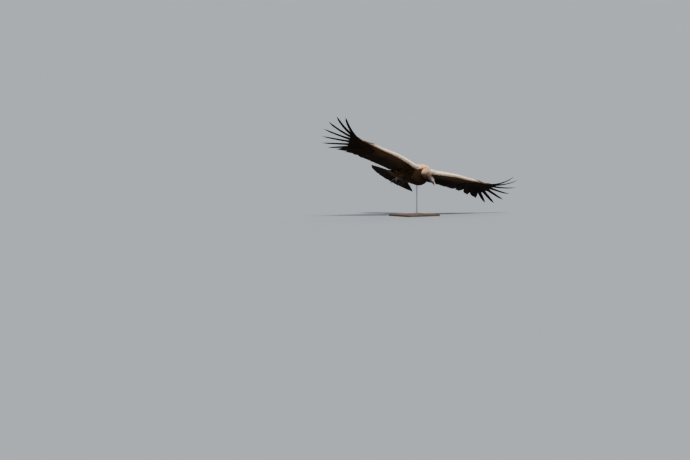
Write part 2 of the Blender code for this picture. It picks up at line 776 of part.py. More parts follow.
def ruff(name):
    """The downy collar: a ring about the neck, with two tiers of locks that bend back over the shoulders."""
    forward, up = neck_frame(NECK_DOWN)
    side = Vector((1, 0, 0))
    centre = NECK_AT + forward * GAP
    steps, count = COLLAR_STEPS, len(COLLAR)
    points, faces = [], []
    for k in range(steps):
        angle = 2 * math.pi * k / steps
        out = side * math.cos(angle) + up * math.sin(angle)
        points += [centre + forward * ahead + out * radius for ahead, radius in COLLAR]
        for j in range(count):
            a, b = k * count + j, k * count + (j + 1) % count
            c, d = (k + 1) % steps * count + (j + 1) % count, (k + 1) % steps * count + j
            faces.append((a, b, c, d))
    collar = add_object(name, points, faces)
    pieces = []
    random.seed(11)
    for tier, (number, ahead, lay, back) in enumerate(RUFF_TIERS):
        for k in range(number):
            angle = 2 * math.pi * (k + 0.5 * tier) / number + random.uniform(-0.03, 0.03)
            out = side * math.cos(angle) + up * math.sin(angle)
            tangent = up * math.cos(angle) - side * math.sin(angle)
            start = out * math.cos(math.radians(lay)) + forward * math.sin(math.radians(lay))
            end = (out - forward * back + tangent * random.uniform(-0.18, 0.18)).normalized()
            root = centre + forward * ahead + out * LOCK_ROOT
            tip = root + (start * 0.5 + end * 0.5).normalized() * LOCK_REACH * random.uniform(0.9, 1.1)
            rachis = Rachis(root, tip, start, end, start.cross(tangent), lambda t: LOCK_TILT)
            pieces.append(vane("lock", rachis, LOCK_WIDTH, LOCK_OUTLINE, 0.5, depth=LOCK_DEPTH))
    return fuse(collar, pieces)


def head_point(a, height, across=0.0):
    """Point this far forward in the head, this high and this far to the side."""
    forward, up = neck_frame(HEAD_DOWN)
    return HEAD_AT + forward * a + up * height + Vector((across, 0, 0))


def head_loft(name, sections, count):
    forward, up = neck_frame(HEAD_DOWN)
    return loft(name, [ring(head_point(a, h), forward, up, w, t, b, count) for a, h, w, t, b in sections])


def head(name):
    skull = head_loft(name, HEAD, 16)
    forward, up = neck_frame(HEAD_DOWN)
    pieces = []
    for side in (1, -1):
        a, height, across = EYE_AT
        centre = head_point(a, height, side * across)
        for upper in (1, -1):
            course = []
            for k in range(5):
                angle = math.radians(12 + 39 * k)
                spot = forward * math.cos(angle) * LID_REACH[0] + up * math.sin(angle) * LID_REACH[1] * upper
                bulge = 0.0046 + 0.0014 * math.sin(angle)
                course.append(centre + spot + Vector((side * bulge, 0, 0)))
            pieces.append(tube("lid", course, LID_RADII, 5))
    skull = fuse(skull, pieces)
    for side in (1, -1):
        a, height, across = EYE_AT
        cut(skull, ball("socket", head_point(a, height, side * across), EYE_RADIUS + GAP))
    a, height = NOSTRIL_AT
    reach = [head_point(a, height, x) for x in (-0.03, 0.03)]
    cut(skull, tube("nostril", reach, (NOSTRIL_RADIUS, NOSTRIL_RADIUS), 8))
    low, high, height = MOUTH_AT
    for side in (1, -1):
        wedge = []
        for a, inside in zip((low, 0.5 * (low + high), high + 0.004), MOUTH_INSIDE):
            half = MOUTH_HEIGHT / 4 if a == low else MOUTH_HEIGHT / 2
            corners = ((-half, inside), (-half, 0.04), (half, 0.04), (half, inside))
            wedge.append([head_point(a, height + rise, side * across) for rise, across in corners][::side])
        cut(skull, loft("mouth", wedge))
    return skull


def last_way(course):
    return (Vector(course[-1]) - Vector(course[-2])).normalized()


def leg(name, side):
    way = last_way(THIGH)
    course = (Vector(THIGH[-1]) + way * GAP,) + TARSUS
    return tube(name, course, TARSUS_RADII, 10, side, first=way)


def toe_course(yaw, length, fall):
    """Course of a toe from inside the foot's palm, curling slightly down."""
    yaw, fall = math.radians(yaw), math.radians(fall)
    course = [Vector(TARSUS[-1]) + TOE_FROM]
    for k in range(4):
        bent = fall - TOE_CURL * k
        step = Vector((math.sin(yaw) * math.cos(bent), math.cos(yaw) * math.cos(bent), math.sin(bent)))
        course.append(course[-1] + step * length / 4)
    return course


def foot(name, side):
    way = last_way(TARSUS)
    course = [Vector(TARSUS[-1]) + way * GAP] + [Vector(TARSUS[-1]) + Vector(step) for step in PALM]
    palm = tube(name, course, PALM_RADII, 10, side, 0.8, first=way)
    toes = []
    for yaw, length, fall in TOES + (HALLUX,):
        toes.append(tube("toe", toe_course(yaw, length, fall), TOE_RADII, 6, side))
    return fuse(palm, toes)


def claw(name, side, toe):
    yaw, length, fall = toe
    course = toe_course(yaw, length, fall)
    way = (course[-1] - course[-2]).normalized()
    start = course[-1] + way * GAP
    path = [start + way * ahead + Vector((0, 0, rise)) for ahead, rise in CLAW_COURSE]
    rings = []
    for i, (p, r) in enumerate(zip(path, CLAW_RADII)):
        axis = way if i == 0 else (path[min(i + 1, 2)] - path[i - 1]).normalized()
        side_way = axis.cross(Vector((0, 0, 1))).normalized()
        rings.append(ring(p, axis, side_way.cross(axis), r, r, r, 6))
    return loft(name, rings, side)


# Stand


def stand():
    """Base plate and rod. The rod stands in a socket of the plate and ends in a socket of the belly."""
    width, depth, height = BASE_SIZE
    bpy.ops.mesh.primitive_cube_add(size=1, location=(0, 0, height / 2))
    base = bpy.context.object
    base.name = "stand_base"
    base.data.transform(Matrix.Diagonal((width, depth, height, 1)))
    bevel = base.modifiers.new("edge", "BEVEL")
    bevel.width = BASE_EDGE
    bevel.segments = 2
    apply_modifiers(base)
    base.location = (0, 0, 0)
    base.data.transform(Matrix.Translation((0, 0, height / 2)))
    bpy.ops.mesh.primitive_cylinder_add(vertices=ROD_SIDES, radius=ROD_RADIUS + GAP, depth=0.03)
    socket = bpy.context.object
    socket.data.transform(Matrix.Translation((ROD_AT[0], ROD_AT[1], height - BASE_SOCKET + 0.015)))
    cut(base, socket)
    low, high = height - BASE_SOCKET + GAP, ROD_TOP
    bpy.ops.mesh.primitive_cylinder_add(vertices=ROD_SIDES, radius=ROD_RADIUS, depth=high - low)
    rod = bpy.context.object
    rod.name = "stand_rod"
    rod.data.transform(Matrix.Translation((ROD_AT[0], ROD_AT[1], (high + low) / 2)))
    return base, rod


def belly_socket(body, bird):
    """Bores the rod's socket into the belly, straight up in the stand's frame."""
    bpy.ops.mesh.primitive_cylinder_add(vertices=ROD_SIDES, radius=ROD_RADIUS + GAP, depth=0.3)
    bore = bpy.context.object
    bore.data.transform(Matrix.Translation((ROD_AT[0], ROD_AT[1], ROD_TOP + GAP - 0.15)))
    bore.data.transform(bird.matrix_world.inverted())
    cut(body, bore)


def make_bird_frame():
    bird = bpy.data.objects.new("bird", None)
    bpy.context.scene.collection.objects.link(bird)
    bird.matrix_world = (
        Matrix.Translation(SHOULDERS) @ Matrix.Rotation(-PITCH, 4, "X") @ Matrix.Rotation(BANK, 4, "Y")
    )
    return bird


def main():
    clear_scene()
    bird = make_bird_frame()
    body = torso("torso")
    belly_socket(body, bird)
    finish(body, bird, "plumage")
    finish(tail("tail"), bird, "quill")
    finish(ruff("ruff"), bird, "down", 60)
    finish(neck("neck"), bird, "skin", 60)
    finish(head("head"), bird, "skin", 50)
    finish(head_loft("bill_upper", BILL_UPPER, 14), bird, "horn", 60)
    finish(head_loft("bill_lower", BILL_LOWER, 14), bird, "horn", 60)
    for side, word in ((1, "left"), (-1, "right")):
        a, height, across = EYE_AT
        finish(ball(f"eye_{word}", head_point(a, height, side * across), EYE_RADIUS), bird, "eye")
        finish(inner_wing(side, f"wing_{word}_arm"), bird, "plumage")
        finish(outer_wing(side, f"wing_{word}_hand"), bird, "quill")
        finish(leg(f"leg_{word}", side), bird, "scutes", 60)
        finish(foot(f"foot_{word}", side), bird, "scutes", 60)
        for k, toe in enumerate(TOES + (HALLUX,)):
            finish(claw(f"claw_{word}_{k + 1}", side, toe), bird, "claw", 60)
    base, rod = stand()
    finish(base, None, "wood", 30)
    finish(rod, None, "steel", 30)
    gather()


def gather():
    """Puts the frame and all nodes into one collection named for the object."""
    home = bpy.data.collections.new("condor")
    bpy.context.scene.collection.children.link(home)
    for obj in list(bpy.data.objects):
        for held in list(obj.users_collection):
            held.objects.unlink(obj)
        home.objects.link(obj)


main()
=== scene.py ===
import math

import bpy
import numpy as np
from mathutils import Matrix, Vector
from mathutils.bvhtree import BVHTree


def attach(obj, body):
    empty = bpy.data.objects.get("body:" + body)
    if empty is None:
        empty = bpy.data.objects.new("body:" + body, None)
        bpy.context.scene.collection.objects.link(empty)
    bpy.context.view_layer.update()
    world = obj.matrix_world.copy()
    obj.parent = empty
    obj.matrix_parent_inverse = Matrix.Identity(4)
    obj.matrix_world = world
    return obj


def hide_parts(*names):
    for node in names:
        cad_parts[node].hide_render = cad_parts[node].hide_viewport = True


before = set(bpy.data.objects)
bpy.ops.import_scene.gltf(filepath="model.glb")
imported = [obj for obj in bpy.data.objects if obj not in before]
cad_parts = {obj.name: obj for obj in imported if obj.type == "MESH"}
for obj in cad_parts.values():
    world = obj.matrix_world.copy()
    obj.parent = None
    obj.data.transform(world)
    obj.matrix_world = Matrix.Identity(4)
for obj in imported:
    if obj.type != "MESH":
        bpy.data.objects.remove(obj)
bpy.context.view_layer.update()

# Lengths are in metres, and a side is 1 for the left and -1 for the right
SIDES = ((1, "left"), (-1, "right"))

# Pose of the bird frame: X towards the left wing, Y towards the tail, Z up through the back
PITCH = math.radians(12)
BANK = math.radians(18)
SHOULDERS = Vector((0.015, -0.185, 0.565))
BIRD = Matrix.Translation(SHOULDERS) @ Matrix.Rotation(-PITCH, 4, "X") @ Matrix.Rotation(BANK, 4, "Y")

# Wing: its leading edge, and the chord and half depth of its fleshy arm at x
ROOT_X = 0.125
WRIST_X = 0.655
HAND_TIP_X = 0.955
LEADING_EDGE = (
    (ROOT_X, 0.000, 0.000),
    (0.280, -0.034, 0.018),
    (0.460, -0.040, 0.042),
    (WRIST_X, -0.012, 0.064),
    (0.780, 0.004, 0.081),
    (HAND_TIP_X, 0.046, 0.102),
)
ARM_CHORD = (
    (ROOT_X, 0.215),
    (0.300, 0.170),
    (0.460, 0.140),
    (WRIST_X, 0.105),
    (0.780, 0.070),
    (HAND_TIP_X, 0.022),
)
ARM_DEPTH = (
    (ROOT_X, 0.050),
    (0.300, 0.042),
    (0.460, 0.034),
    (WRIST_X, 0.026),
    (0.780, 0.018),
    (HAND_TIP_X, 0.009),
)

# Depth of the arm's rear edge, its lower half over its upper half, and half depth of the plumage behind it
REAR_DEPTH = 0.010
LOWER_DEPTH = 0.9
VANE_DEPTH = 0.0042

# How far the wing's surface slopes down to its rear at x, in degrees
WING_DROOP = ((ROOT_X, 0.0), (0.40, 1.5), (WRIST_X, 5.0), (HAND_TIP_X, 8.0))

# Sections of the arm: their x, their shares of the chord, and the x and growth of those in the shoulder
ARM_STATIONS = (ROOT_X, 0.20, 0.28, 0.36, 0.44, 0.52, 0.59, WRIST_X, 0.70, 0.75, 0.80, 0.85, 0.91, HAND_TIP_X)
ARM_SHARES = (0.0, 0.02, 0.05, 0.10, 0.18, 0.28, 0.40, 0.55, 0.70, 0.85, 1.0)
SHOULDER_STUB = ((0.040, 1.30), (0.090, 1.10), (ROOT_X - 0.0003, 1.0))

# Primaries from the wrist outwards: tips, rise at the root in degrees, share that is whole, and width
PRIMARY_TIPS = (
    (0.795, 0.388, 0.026),
    (0.918, 0.378, 0.014),
    (1.050, 0.376, 0.010),
    (1.185, 0.366, -0.012),
    (1.293, 0.334, 0.009),
    (1.360, 0.250, 0.058),
    (1.395, 0.184, 0.128),
    (1.405, 0.085, 0.196),
    (1.358, 0.000, 0.262),
    (1.262, -0.050, 0.266),
)
PRIMARY_START = (-7.0, -7.0, -7.5, -7.5, -6.0, -3.5, 0.0, 3.0, 5.0, 6.0)
PRIMARY_FREE = (0.80, 0.74, 0.54, 0.38, 0.34, 0.29, 0.24, 0.18, 0.12, 0.08)
PRIMARY_WIDTH = (0.092, 0.092, 0.088, 0.080, 0.076, 0.074, 0.074, 0.074, 0.072, 0.070)

# Fingers: width over the whole vane's, and roll at the tip in degrees
BROAD_PRIMARIES = 3
FINGER_WIDTH = 0.52
FINGER_ROLL = (-6.0, -6.0, -8.0, -12.0, -13.0, -14.0, -13.0, -13.0, -15.0, -16.0)

# Secondaries and tertials: lean outwards in degrees at the wrist, width, and y of their tips at x
SECONDARIES = 17
TERTIALS = 3
SECONDARY_LEAN = 17.0
SECONDARY_WIDTH = 0.066
TERTIAL_BREADTH = 1.14
TRAILING_EDGE = ((0.10, 0.400), (0.35, 0.405), (0.50, 0.400), (0.66, 0.395))
VANE_TILT = math.radians(4.2)
FEATHERS_FROM = ROOT_X + 0.046
FEATHERS_TO = WRIST_X - 0.030

# Alula feathers: x and length
ALULA = ((0.745, 0.165), (0.732, 0.145), (0.722, 0.120))
ALULA_WIDTH = 0.036
ALULA_STEP = 0.0035
ALULA_ROLL = math.radians(-12)

# Torso sections: y, height of the middle, half width, half height above and below, tilt of the plane
TORSO = (
    (-0.046, -0.066, 0.046, 0.046, 0.048, 38.0),
    (-0.026, -0.062, 0.074, 0.070, 0.066, 27.0),
    (0.010, -0.058, 0.098, 0.104, 0.088, 16.0),
    (0.055, -0.060, 0.112, 0.126, 0.108, 6.0),
    (0.105, -0.062, 0.115, 0.130, 0.120, 0.0),
    (0.170, -0.052, 0.109, 0.115, 0.116, 0.0),
    (0.245, -0.028, 0.094, 0.084, 0.100, 0.0),
    (0.320, -0.004, 0.078, 0.060, 0.078, 0.0),
    (0.395, 0.014, 0.066, 0.046, 0.054, 0.0),
    (0.465, 0.026, 0.058, 0.034, 0.034, 0.0),
)
THIGH = ((0.036, 0.190, -0.080), (0.050, 0.270, -0.090), (0.055, 0.345, -0.088))
THIGH_RADII = (0.036, 0.033, 0.0105)

# Tail: its root, half spread, and the lengths of its feathers from the middle outwards
TAIL_Y = 0.4653
TAIL_Z = 0.026
TAIL_FEATHERS = 12
TAIL_SPREAD = math.radians(64)
TAIL_LENGTH = (0.388, 0.382, 0.374, 0.364, 0.354, 0.346)
TAIL_WIDTH = 0.082
TAIL_TWIST = math.radians(13.5)
TAIL_RISE = math.radians(5.0)
TAIL_ARCH = math.radians(9.5)
TAIL_STEP = 0.0019
TAIL_ROOT_HALF = 0.030
TAIL_CORE = ((TAIL_Y, 0.058, 0.034), (0.490, 0.054, 0.028), (0.520, 0.044, 0.020), (0.545, 0.026, 0.010))

# Neck and head, whose sections are: distance forward, rise, half width, half height above and below
NECK_DOWN = math.radians(38)
NECK_AT = Vector((0.0, -0.046, -0.066))
NECK_RADIUS = 0.0290
HEAD_AT = Vector((0.0, -0.125, -0.128))
HEAD_DOWN = math.radians(42)
HEAD = (
    (0.000, 0.000, 0.0250, 0.0250, 0.0250),
    (0.014, 0.001, 0.0285, 0.0270, 0.0270),
    (0.034, 0.002, 0.0310, 0.0285, 0.0290),
    (0.056, 0.001, 0.0310, 0.0280, 0.0285),
    (0.074, -0.001, 0.0285, 0.0250, 0.0265),
    (0.092, -0.003, 0.0215, 0.0200, 0.0225),
    (0.108, -0.004, 0.0155, 0.0175, 0.0185),
    (0.122, -0.004, 0.0130, 0.0165, 0.0165),
)

# Fineness of the bare skin, and its end at the bill
BARE_END = 0.1225
NECK_RINGS = 80
HEAD_RINGS = 176
HEAD_SIDES = 160

# Places in the head: forward, height and, for the eye, across; the mouth's corner and height
EYE_AT = (0.066, 0.0070, 0.0252)
EYE_RADIUS = 0.0072
NOSTRIL_AT = (0.110, 0.0045)
EAR_AT = (0.030, -0.002)
MOUTH_AT = (0.080, -0.0045)

# Bristles, from the neck to the brow
BRISTLES = 5000
BRISTLE_LENGTH = 0.0085
BRISTLE_WIDTH = 0.0005
BRISTLE_STATIONS = (0.0, 0.35, 0.7, 1.0)
BRISTLE_OUTLINE = ((0.0, 0.6), (0.5, 1.0), (1.0, 0.1))
BRISTLES_FROM = -0.055
BRISTLES_TO = 0.090
HAIR_RIBS = (-1.0, 0.0, 1.0)

# Folds round the eye: how far they stand out, distance from its middle, and width
LIDS = (
    (0.0011, 0.0072, 0.0011),
    (-0.0009, 0.0096, 0.0010),
    (0.0006, 0.0116, 0.0011),
    (-0.0004, 0.0136, 0.0012),
)

# Downy ruff from its rear to its front: share, distance forward, radius, lay in degrees, how far the tips
# turn back, length and paleness
RUFF_COURSE = (
    (0.00, -0.014, 0.040, -52, -0.99, 0.048, 0.30),
    (0.16, -0.006, 0.043, -42, -0.98, 0.047, 0.50),
    (0.32, 0.002, 0.045, -32, -0.96, 0.045, 0.75),
    (0.48, 0.010, 0.0445, -18, -0.94, 0.042, 0.95),
    (0.62, 0.017, 0.041, -2, -0.88, 0.038, 0.95),
    (0.75, 0.023, 0.037, 12, -0.76, 0.034, 0.65),
    (0.88, 0.029, 0.0335, 28, -0.55, 0.029, 0.30),
    (1.00, 0.034, 0.0305, 44, -0.30, 0.023, 0.12),
)
WISPS = 10000
WISP_STATIONS = (0.0, 0.25, 0.52, 0.78, 1.0)
WISP_OUTLINE = ((0.0, 0.6), (0.3, 1.0), (0.60, 0.86), (0.82, 0.50), (1.0, 0.04))
WISP_WIDTH = 0.0036

# Legs: digits are yaw in degrees, length and fall in degrees, and the palm's points are back and rise
TARSUS = ((0.053, 0.388, -0.078), (0.051, 0.430, -0.064), (0.050, 0.468, -0.052))
TARSUS_RADII = (0.0095, 0.0088, 0.0100)
TOE_FROM = Vector((0.0, 0.015, 0.004))
TOE_CURL = math.radians(7)
TOES = ((-19.0, 0.074, -9.0), (0.0, 0.098, -3.0), (19.0, 0.070, -9.0))
HALLUX = (122.0, 0.030, -60.0)
DIGITS = TOES + (HALLUX,)
TOE_BONES = 4
TOE_RADII = (0.0072, 0.0073, 0.0068, 0.0062, 0.0046)
TOE_JOINTS = (0.40, 0.68, 0.90)
HALLUX_JOINTS = (0.75,)
LONGEST_HALLUX = 0.05
TOE_RING_GAP = 0.00115
PALM = ((-0.006, -0.002), (0.010, 0.003), (0.024, 0.006), (0.034, 0.007))
PALM_RADII = (0.0095, 0.0118, 0.0135, 0.0065)
SCALE_HEIGHT = 0.0006

# Claws: how far their course runs ahead and how far it rises, and their radii there
CLAW_COURSE = ((0, 0.0003), (0.008, -0.0006), (0.0145, -0.0042), (0.0195, -0.0098), (0.0215, -0.0134))
CLAW_RADII = (0.0044, 0.0041, 0.0032, 0.0019, 0.0006)
CLAW_RINGS = 22
CLAW_SIDES = 20

# Plumage colours
EARTH = (0.120, 0.060, 0.028)
TAN = (0.52, 0.30, 0.145)
# Fawn on the top of the back is partly painted light, where light falls on it
FAWN = (0.72, 0.38, 0.165)
# Cream is painted light: it paints the pale band along the wings' leading edges and over the shoulders,
# standing for light falling on them
PAINTED_LIGHT_CREAM = (0.94, 0.79, 0.61)
BARK = (0.040, 0.0200, 0.0090)
RUST = (0.165, 0.060, 0.017)
SOOT = (0.0088, 0.0053, 0.0034)
UMBER = (0.026, 0.0150, 0.0082)
BUFF = (0.86, 0.61, 0.38)

# Bare skin colours
DUSK = (0.034, 0.0215, 0.0155)
FLUSH = (0.105, 0.046, 0.032)
NIGHT = (0.012, 0.009, 0.008)
# Ashen on the crown and brow of the bare skin is painted light from above; the head's down takes it only as a
# grey tone
ASHEN = (0.175, 0.135, 0.108)
# painted highlight along the ridge of the upper bill, standing for light falling on it
PAINTED_RIDGE_HIGHLIGHT = (0.42, 0.36, 0.29)
SCUTE = (0.040, 0.030, 0.022)

# Camera, from the photo's viewing angle and the bird's place in its frame
AZIMUTH = math.radians(-37.5)
ELEVATION = math.radians(3.0)
DISTANCE = 150.0
METRES_PER_PIXEL = 0.01185
FRAME_WIDTH = 690
SHOULDER_PIXEL = (425, 169)
FRAME_CENTRE = (345, 230)
SENSOR_WIDTH = 36.0
VIEW_END = 10000

# Lights: azimuth and height in degrees, strength, and apparent width in degrees
LIGHTS = (("key", -20, 54, 8.0, 11), ("fill", 120, 40, 0.35, 40))
FLOOR_SIZE = 6000
SURROUND = (0.485, 0.520, 0.565, 1.0)


# Small mathematics


def between(table, x):
    """Value at x of a table of (x, value) pairs, straight between them and level past its ends."""
    return float(np.interp(x, [row[0] for row in table], [row[1] for row in table]))


def ease(low, high, x):
    """0 below low, 1 above high, easing in and out between."""
    t = np.clip((x - low) / (high - low), 0.0, 1.0)
    return t * t * (3 - 2 * t)


def gain(low, high, x):
    """The same for one number."""
    return float(ease(low, high, x))


def bell(x, middle, width):
    """1 at the middle, falling to either side."""
    return np.exp(-(((x - middle) / width) ** 2))


def spread(first, last, count):
    return [first + (last - first) * i / (count - 1) for i in range(count)]


def unit(vectors):
    return vectors / np.maximum(np.linalg.norm(vectors, axis=-1, keepdims=True), 1e-12)


def blend(a, b, share):
    return tuple(p + (q - p) * float(share) for p, q in zip(a, b))


def hermite(a, slope_a, b, slope_b, t):
    """Point at share t of a cubic from a to b that leaves and arrives with these slopes."""
    return (
        a * (2 * t**3 - 3 * t**2 + 1)
        + slope_a * (t**3 - 2 * t**2 + t)
        + b * (3 * t**2 - 2 * t**3)
        + slope_b * (t**3 - t**2)
    )


def heading(yaw, rise, ahead=1):
    """Direction turned by yaw from Y, or from -Y when ahead is -1, and this far above level."""
    return Vector((math.sin(yaw) * math.cos(rise), ahead * math.cos(yaw) * math.cos(rise), math.sin(rise)))


def curve_at(points, x):
    """Point at x on a smooth curve through points that are in order of x, straight on past its ends."""
    last = len(points) - 1
    i = max(k for k in range(last) if x >= points[k][0] or k == 0)
    a, b = Vector(points[i]), Vector(points[i + 1])
    before, after = Vector(points[max(i - 1, 0)]), Vector(points[min(i + 2, last)])
    start = (b - before) * ((b.x - a.x) / (b.x - before.x))
    end = (after - a) * ((b.x - a.x) / (after.x - a.x))
    return hermite(a, start, b, end, (x - a.x) / (b.x - a.x))


def rows_at(table, places):
    """Rows of a table of sections read at other places along its first column, on smooth curves."""
    table = np.array(table, dtype=float)
    x = table[:, 0]
    slopes = np.gradient(table, x, axis=0)
    read = []
    for place in places:
        i = int(np.clip(np.searchsorted(x, place) - 1, 0, len(x) - 2))
        span = x[i + 1] - x[i]
        t = (place - x[i]) / span
        read.append(hermite(table[i], slopes[i] * span, table[i + 1], slopes[i + 1] * span, t))
    return read


# Meshes

# Size of the last ring at a tube's end over the ring beside it
END_SIZE = 0.02


def mesh_object(name, points, faces, material, side=1, corner_uvs=None, values=None, nodes=()):
    """A smooth piece in place of CAD nodes, from arrays in the bird frame, mirrored when side is -1."""
    points = np.array(points, dtype=float)
    faces = np.array(faces, dtype=np.int32)
    if side < 0:
        points = points * (-1.0, 1.0, 1.0)
        faces = faces[:, ::-1]
        corner_uvs = {key: uv[:, ::-1] for key, uv in (corner_uvs or {}).items()}
    turn = np.array(BIRD)
    points = points @ turn[:3, :3].T + turn[:3, 3]
    mesh = bpy.data.meshes.new(name)
    mesh.vertices.add(len(points))
    mesh.vertices.foreach_set("co", points.astype(np.float32).ravel())
    sides = faces.shape[1]
    mesh.loops.add(faces.size)
    mesh.loops.foreach_set("vertex_index", faces.ravel())
    mesh.polygons.add(len(faces))
    mesh.polygons.foreach_set("loop_start", np.arange(0, faces.size, sides, dtype=np.int32))
    mesh.update(calc_edges=True)
    mesh.polygons.foreach_set("use_smooth", np.ones(len(faces), dtype=bool))
    for key, uv in (corner_uvs or {}).items():
        mesh.uv_layers.new(name=key).data.foreach_set("uv", uv.astype(np.float32).ravel())
    for key, data in (values or {}).items():
        add_value(mesh, key, data)
    mesh.validate()
    mesh.materials.append(material)
    obj = placed(name, mesh)
    if nodes:
        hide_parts(*nodes)
    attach(obj, "root")
    return obj


def placed(name, data):
    """A new object of this data, linked into the scene."""
    obj = bpy.data.objects.new(name, data)
    bpy.context.scene.collection.objects.link(obj)
    return obj


def add_value(mesh, key, data):
    """Stores one number or one colour for each point of the mesh."""
    data = np.array(data, dtype=np.float32)
    if data.ndim == 1:
        mesh.attributes.new(key, "FLOAT", "POINT").data.foreach_set("value", data)
    else:
        colours = np.concatenate([data, np.ones((len(data), 1), dtype=np.float32)], axis=1)
        mesh.attributes.new(key, "FLOAT_COLOR", "POINT").data.foreach_set("color", colours.ravel())


def quads(grid, turned=False):
    """Quads between the neighbours in a grid of point numbers, running the other way round when turned."""
    corners = [grid[:-1, :-1], grid[1:, :-1], grid[1:, 1:], grid[:-1, 1:]]
    if turned:
        corners = [corners[k] for k in (0, 3, 2, 1)]
    return np.stack(corners, axis=-1).reshape(-1, 4)


def tube_arrays(rings):
    """Points and quads of a skin over rings of equal length, with its ends drawn to their middles."""
    rings = np.array(rings, dtype=float)
    caps = [ring.mean(axis=0) + (ring - ring.mean(axis=0)) * END_SIZE for ring in (rings[0], rings[-1])]
    rings = np.concatenate([caps[:1], rings, caps[1:]])
    grid = np.arange(rings.shape[0] * rings.shape[1]).reshape(rings.shape[:2])
    return rings.reshape(-1, 3), quads(np.concatenate([grid, grid[:, :1]], axis=1), turned=True)


def round_angles(count):
    """Angles of this many points evenly round a ring."""
    return [2 * math.pi * k / count for k in range(count)]


